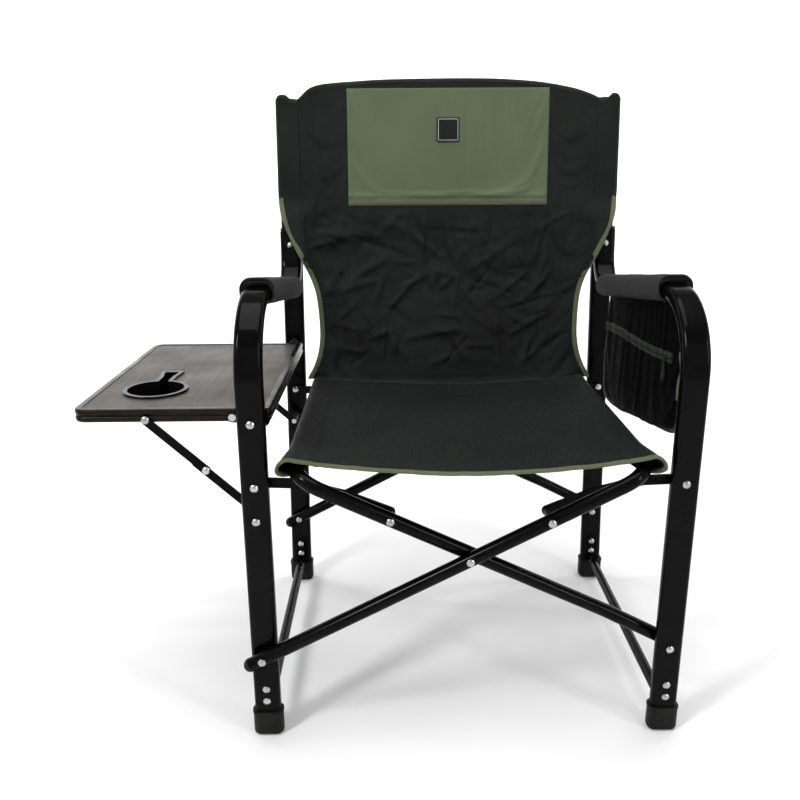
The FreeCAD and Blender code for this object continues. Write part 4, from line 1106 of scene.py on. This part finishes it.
def pouch_shell():
    columns, rows = 74, 46
    flat = np.zeros((rows, columns, 2))
    for r in range(rows):
        for c in range(columns):
            a, b = c / (columns - 1), r / (rows - 1)
            y, z = -0.13 + 0.33 * a, 0.5
            for _ in range(9):
                y = through(POUCH_FRONT, z) * (1 - a) + through(POUCH_REAR, z) * a
                top = arm_z(y) - 0.0145
                z = through(POUCH_BOTTOM, y) * (1 - b) + top * b
            flat[r, c] = (y, z)
    points, uvs = [], []
    for layer in (-1, 1):
        for r in range(rows):
            for c in range(columns):
                a, b = c / (columns - 1), r / (rows - 1)
                edge = min(a, 1 - a) * 0.36
                low = b * 0.19
                full = float(smooth(edge, 0.0, 0.035) * smooth(low, 0.0, 0.035) * smooth(b, 1.02, 0.66))
                thickness = 0.0016 + 0.0085 * full
                y, z = flat[r, c]
                sag = 0.0035 * full * fbm(y * 9, z * 12, 4.0 + layer)
                points.append((POUCH_X + layer * (thickness + sag), y, z))
                uvs.append((y, z))
    count = rows * columns
    faces = [tuple(reversed(f)) for f in grid_faces(rows, columns)]
    faces += [tuple(i + count for i in f) for f in grid_faces(rows, columns)]
    loop = [c for c in range(columns)] + [r * columns + columns - 1 for r in range(1, rows)]
    loop += [(rows - 1) * columns + c for c in reversed(range(columns - 1))]
    loop += [r * columns for r in reversed(range(1, rows - 1))]
    for a, b in zip(loop, loop[1:] + loop[:1]):
        faces.append((a, b, b + count, a + count))
    obj = mesh_object("pouch_shell", points, faces, uvs)
    tidy = bmesh.new()
    tidy.from_mesh(obj.data)
    bmesh.ops.recalc_face_normals(tidy, faces=tidy.faces)
    tidy.to_mesh(obj.data)
    tidy.free()
    pinned = []
    for i in range(2 * count):
        r, c = divmod(i % count, columns)
        if r > rows - 3 or (c in (0, columns - 1)) or r == 0:
            pinned.append((i, 1.0))
    simulate(obj, pinned, 20, stretch=0.02, gravity=1.0, pressure=0.5, cap=0.009, stiffness=12.0, bending=0.3)
    return paint(obj, pouch_cloth), rows, columns


pouch, pouch_rows, pouch_columns = pouch_shell()
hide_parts("side_pouch")
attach(pouch, "right_frame")
pouch_inner = np.array([v.co for v in pouch.data.vertices])[:pouch_rows * pouch_columns]


def on_pouch(y, z):
    """Point on the face of the pouch that looks at the seat."""
    near = np.argsort((pouch_inner[:, 1] - y) ** 2 + (pouch_inner[:, 2] - z) ** 2)[:4]
    return Vector((float(pouch_inner[near, 0].mean()), y, z))


TOWARDS_SEAT = Vector((-1, 0, 0))
ZIP_LINE = [(0.207 - 0.360 * t, 0.5235 + 0.0218 * t + 0.002 * math.sin(7 * t)) for t in np.linspace(0, 1, 90)]
zip_points = [on_pouch(y, z) for y, z in ZIP_LINE]
welt = paint(tape("pouch_zip_welt", [p + Vector((-0.0006, 0, 0.0012)) for p in zip_points],
                  [Vector((0, 0, 1))] * 90, [TOWARDS_SEAT] * 90, 0.0075, 0.0036), dark_tape)
lower_welt = paint(tape("pouch_zip_lower_welt", [p + Vector((-0.0004, 0, -0.0022)) for p in zip_points],
                        [Vector((0, 0, -1))] * 90, [TOWARDS_SEAT] * 90, 0.006, 0.0024), dark_tape)
teeth_run = [(p + Vector((-0.0012, 0, -0.0004)), TOWARDS_SEAT) for p in zip_points]
teeth = paint(stitches("pouch_zip_teeth", [teeth_run], pitch=0.0021, length=0.0015, radius=0.0011), black_plastic)
slider_at = on_pouch(-0.1290, 0.5435)


def zip_slider():
    """Slider of the zip. Its short cord pull is made by cord_pull."""
    rings = []
    for d, w, h in ((0.0, 0.0085, 0.0042), (0.0012, 0.0095, 0.0052), (0.0030, 0.0085, 0.0048),
                    (0.0040, 0.006, 0.003)):
        rings.append([slider_at + Vector((-0.001 - d, px, pz))
                      for px, pz in rounded_ring(w, h * 1.5, 0.0016, 24)])
    body = loft("pouch_zip_slider", rings, caps=True)
    return paint(body, black_plastic)


def cord_pull():
    path = [(0.0, 0.0), (-0.001, -0.006), (-0.0016, -0.013), (-0.0025, -0.020), (-0.003, -0.026),
            (-0.003, -0.0335)]
    sizes = [(0.0016, 0.0016), (0.0016, 0.0016), (0.0017, 0.0017), (0.0034, 0.0024), (0.0042, 0.0028),
             (0.0026, 0.0022)]
    rings = []
    for (dy, dz), (w, d) in zip(path, sizes):
        ring = []
        for k in range(14):
            a = 2 * math.pi * k / 14
            ring.append(slider_at + Vector((-0.0052 + math.sin(a) * d, dy + math.cos(a) * w, dz)))
        rings.append(ring)
    pull = loft("pouch_zip_cord", rings, caps=True)
    return paint(pull, dark_tape)


slider, pull = zip_slider(), cord_pull()
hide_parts("pouch_zip_pull")


def pouch_edge_tape():
    ends = [c for c in range(pouch_columns)]
    points = []
    count = pouch_rows * pouch_columns
    for r in reversed(range(6, pouch_rows - 2, 2)):
        points.append((r, 0))
    for c in ends:
        points.append((0, c))
    for r in range(4, pouch_rows - 2, 2):
        points.append((r, pouch_columns - 1))
    all_points = np.array([v.co for v in pouch.data.vertices])
    line = [Vector((all_points[r * pouch_columns + c] + all_points[count + r * pouch_columns + c]) / 2)
            for r, c in points]
    middle = Vector((POUCH_X, 0.03, 0.5))
    inward = []
    for n, p in enumerate(line):
        along = (line[min(n + 1, len(line) - 1)] - line[max(n - 1, 0)]).normalized()
        d = along.cross(Vector((1, 0, 0))).normalized()
        inward.append(d if d.dot(middle - p) > 0 else -d)
    return paint(tape("pouch_edge_tape", line, inward, [TOWARDS_SEAT] * len(line), 0.007, 0.0052), dark_tape)


edge_tape = pouch_edge_tape()

# Green webbing tab beside the front leg.
tab_points = []
for t in np.linspace(0, 1, 14):
    tab_points.append(on_pouch(-0.181 - 0.003 * t, 0.563 - 0.066 * t) + Vector((-0.0012, 0, 0)))
tab = paint(tape("pouch_green_tab", tab_points, [Vector((0, -1, 0))] * 14, [TOWARDS_SEAT] * 14, 0.011, 0.002),
            green_tape)
for piece, slot in ((welt, "pouch_fabric"), (lower_welt, "pouch_fabric"), (teeth, "pouch_trim"),
                    (slider, "pouch_trim"), (pull, "pouch_trim"), (edge_tape, "pouch_fabric"),
                    (tab, "green_fabric")):
    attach(piece, "right_frame")


# ---------------------------------------------------------------- floor, light and camera
def stage_mesh():
    """Pale floor that curves up into a pale wall far behind and around the chair."""
    rings = []
    profile = [(0.0, 0.0), (1.5, 0.0), (3.0, 0.0), (4.2, 0.0)]
    for k in range(1, 13):
        a = math.pi / 2 * k / 12
        profile.append((4.2 + 1.4 * math.sin(a), 1.4 - 1.4 * math.cos(a)))
    profile.append((5.6, 4.5))
    for radius, height in profile[1:]:
        rings.append([Vector((radius * math.cos(2 * math.pi * k / 72), radius * math.sin(2 * math.pi * k / 72),
                              height - 0.0004))
                      for k in range(72)])
    obj = loft("floor", rings)
    mesh = bmesh.new()
    mesh.from_mesh(obj.data)
    mesh.verts.ensure_lookup_table()
    mesh.faces.new([mesh.verts[k] for k in range(72)])
    bmesh.ops.recalc_face_normals(mesh, faces=mesh.faces)
    mesh.to_mesh(obj.data)
    mesh.free()
    for face in obj.data.polygons:
        face.use_smooth = True
    return obj


floor = stage_mesh()
floor_material, floor_tree, floor_shader = new_material("floor", (0.86, 0.86, 0.86), 0.6, 0.0, 0.2)
floor_cloud = noise_value(floor_tree, object_coordinates(floor_tree), 2.0, 3.0)
floor_tree.links.new(two_colours(floor_tree, floor_cloud, (0.855, 0.855, 0.858), (0.87, 0.87, 0.87)),
                     floor_shader.inputs["Base Color"])
paint(floor, floor_material)

world = bpy.data.worlds.new("studio")
world.use_nodes = True
world.node_tree.nodes["Background"].inputs["Color"].default_value = (1.0, 1.0, 1.0, 1.0)
world.node_tree.nodes["Background"].inputs["Strength"].default_value = 0.32
scene.world = world


def area_light(name, place, target, size, power):
    data = bpy.data.lights.new(name, "AREA")
    data.shape = "RECTANGLE"
    data.size, data.size_y = size
    data.energy = power
    obj = bpy.data.objects.new(name, data)
    scene.collection.objects.link(obj)
    obj.location = place
    obj.rotation_euler = (Vector(target) - Vector(place)).to_track_quat("-Z", "Y").to_euler()
    obj.visible_camera = False
    return obj


area_light("top", (0.0, -0.2, 3.0), (0, 0, 0.4), (2.2, 2.2), 48)
area_light("key", (-2.1, -1.9, 2.6), (0, 0, 0.5), (0.45, 1.1), 62)
area_light("fill", (2.3, -1.9, 1.6), (0, 0, 0.5), (0.3, 1.6), 20)
area_light("wall_left", (-2.4, 1.6, 3.0), (-1.8, 5.6, 0.6), (1.6, 1.6), 150)
area_light("wall_right", (2.4, 1.6, 3.0), (1.8, 5.6, 0.6), (1.6, 1.6), 150)

camera_data = bpy.data.cameras.new("camera")
camera_data.sensor_width = 36.0
camera_data.lens = 36.513
camera = bpy.data.objects.new("camera", camera_data)
scene.collection.objects.link(camera)
camera.location = (-0.1018, -1.2566, 0.8175)
camera.rotation_euler = (math.radians(90 - 16.52), 0.0, -0.0069)
camera.rotation_euler.rotate_axis("Z", -0.0066)
scene.camera = camera
scene.view_settings.view_transform = "Standard"
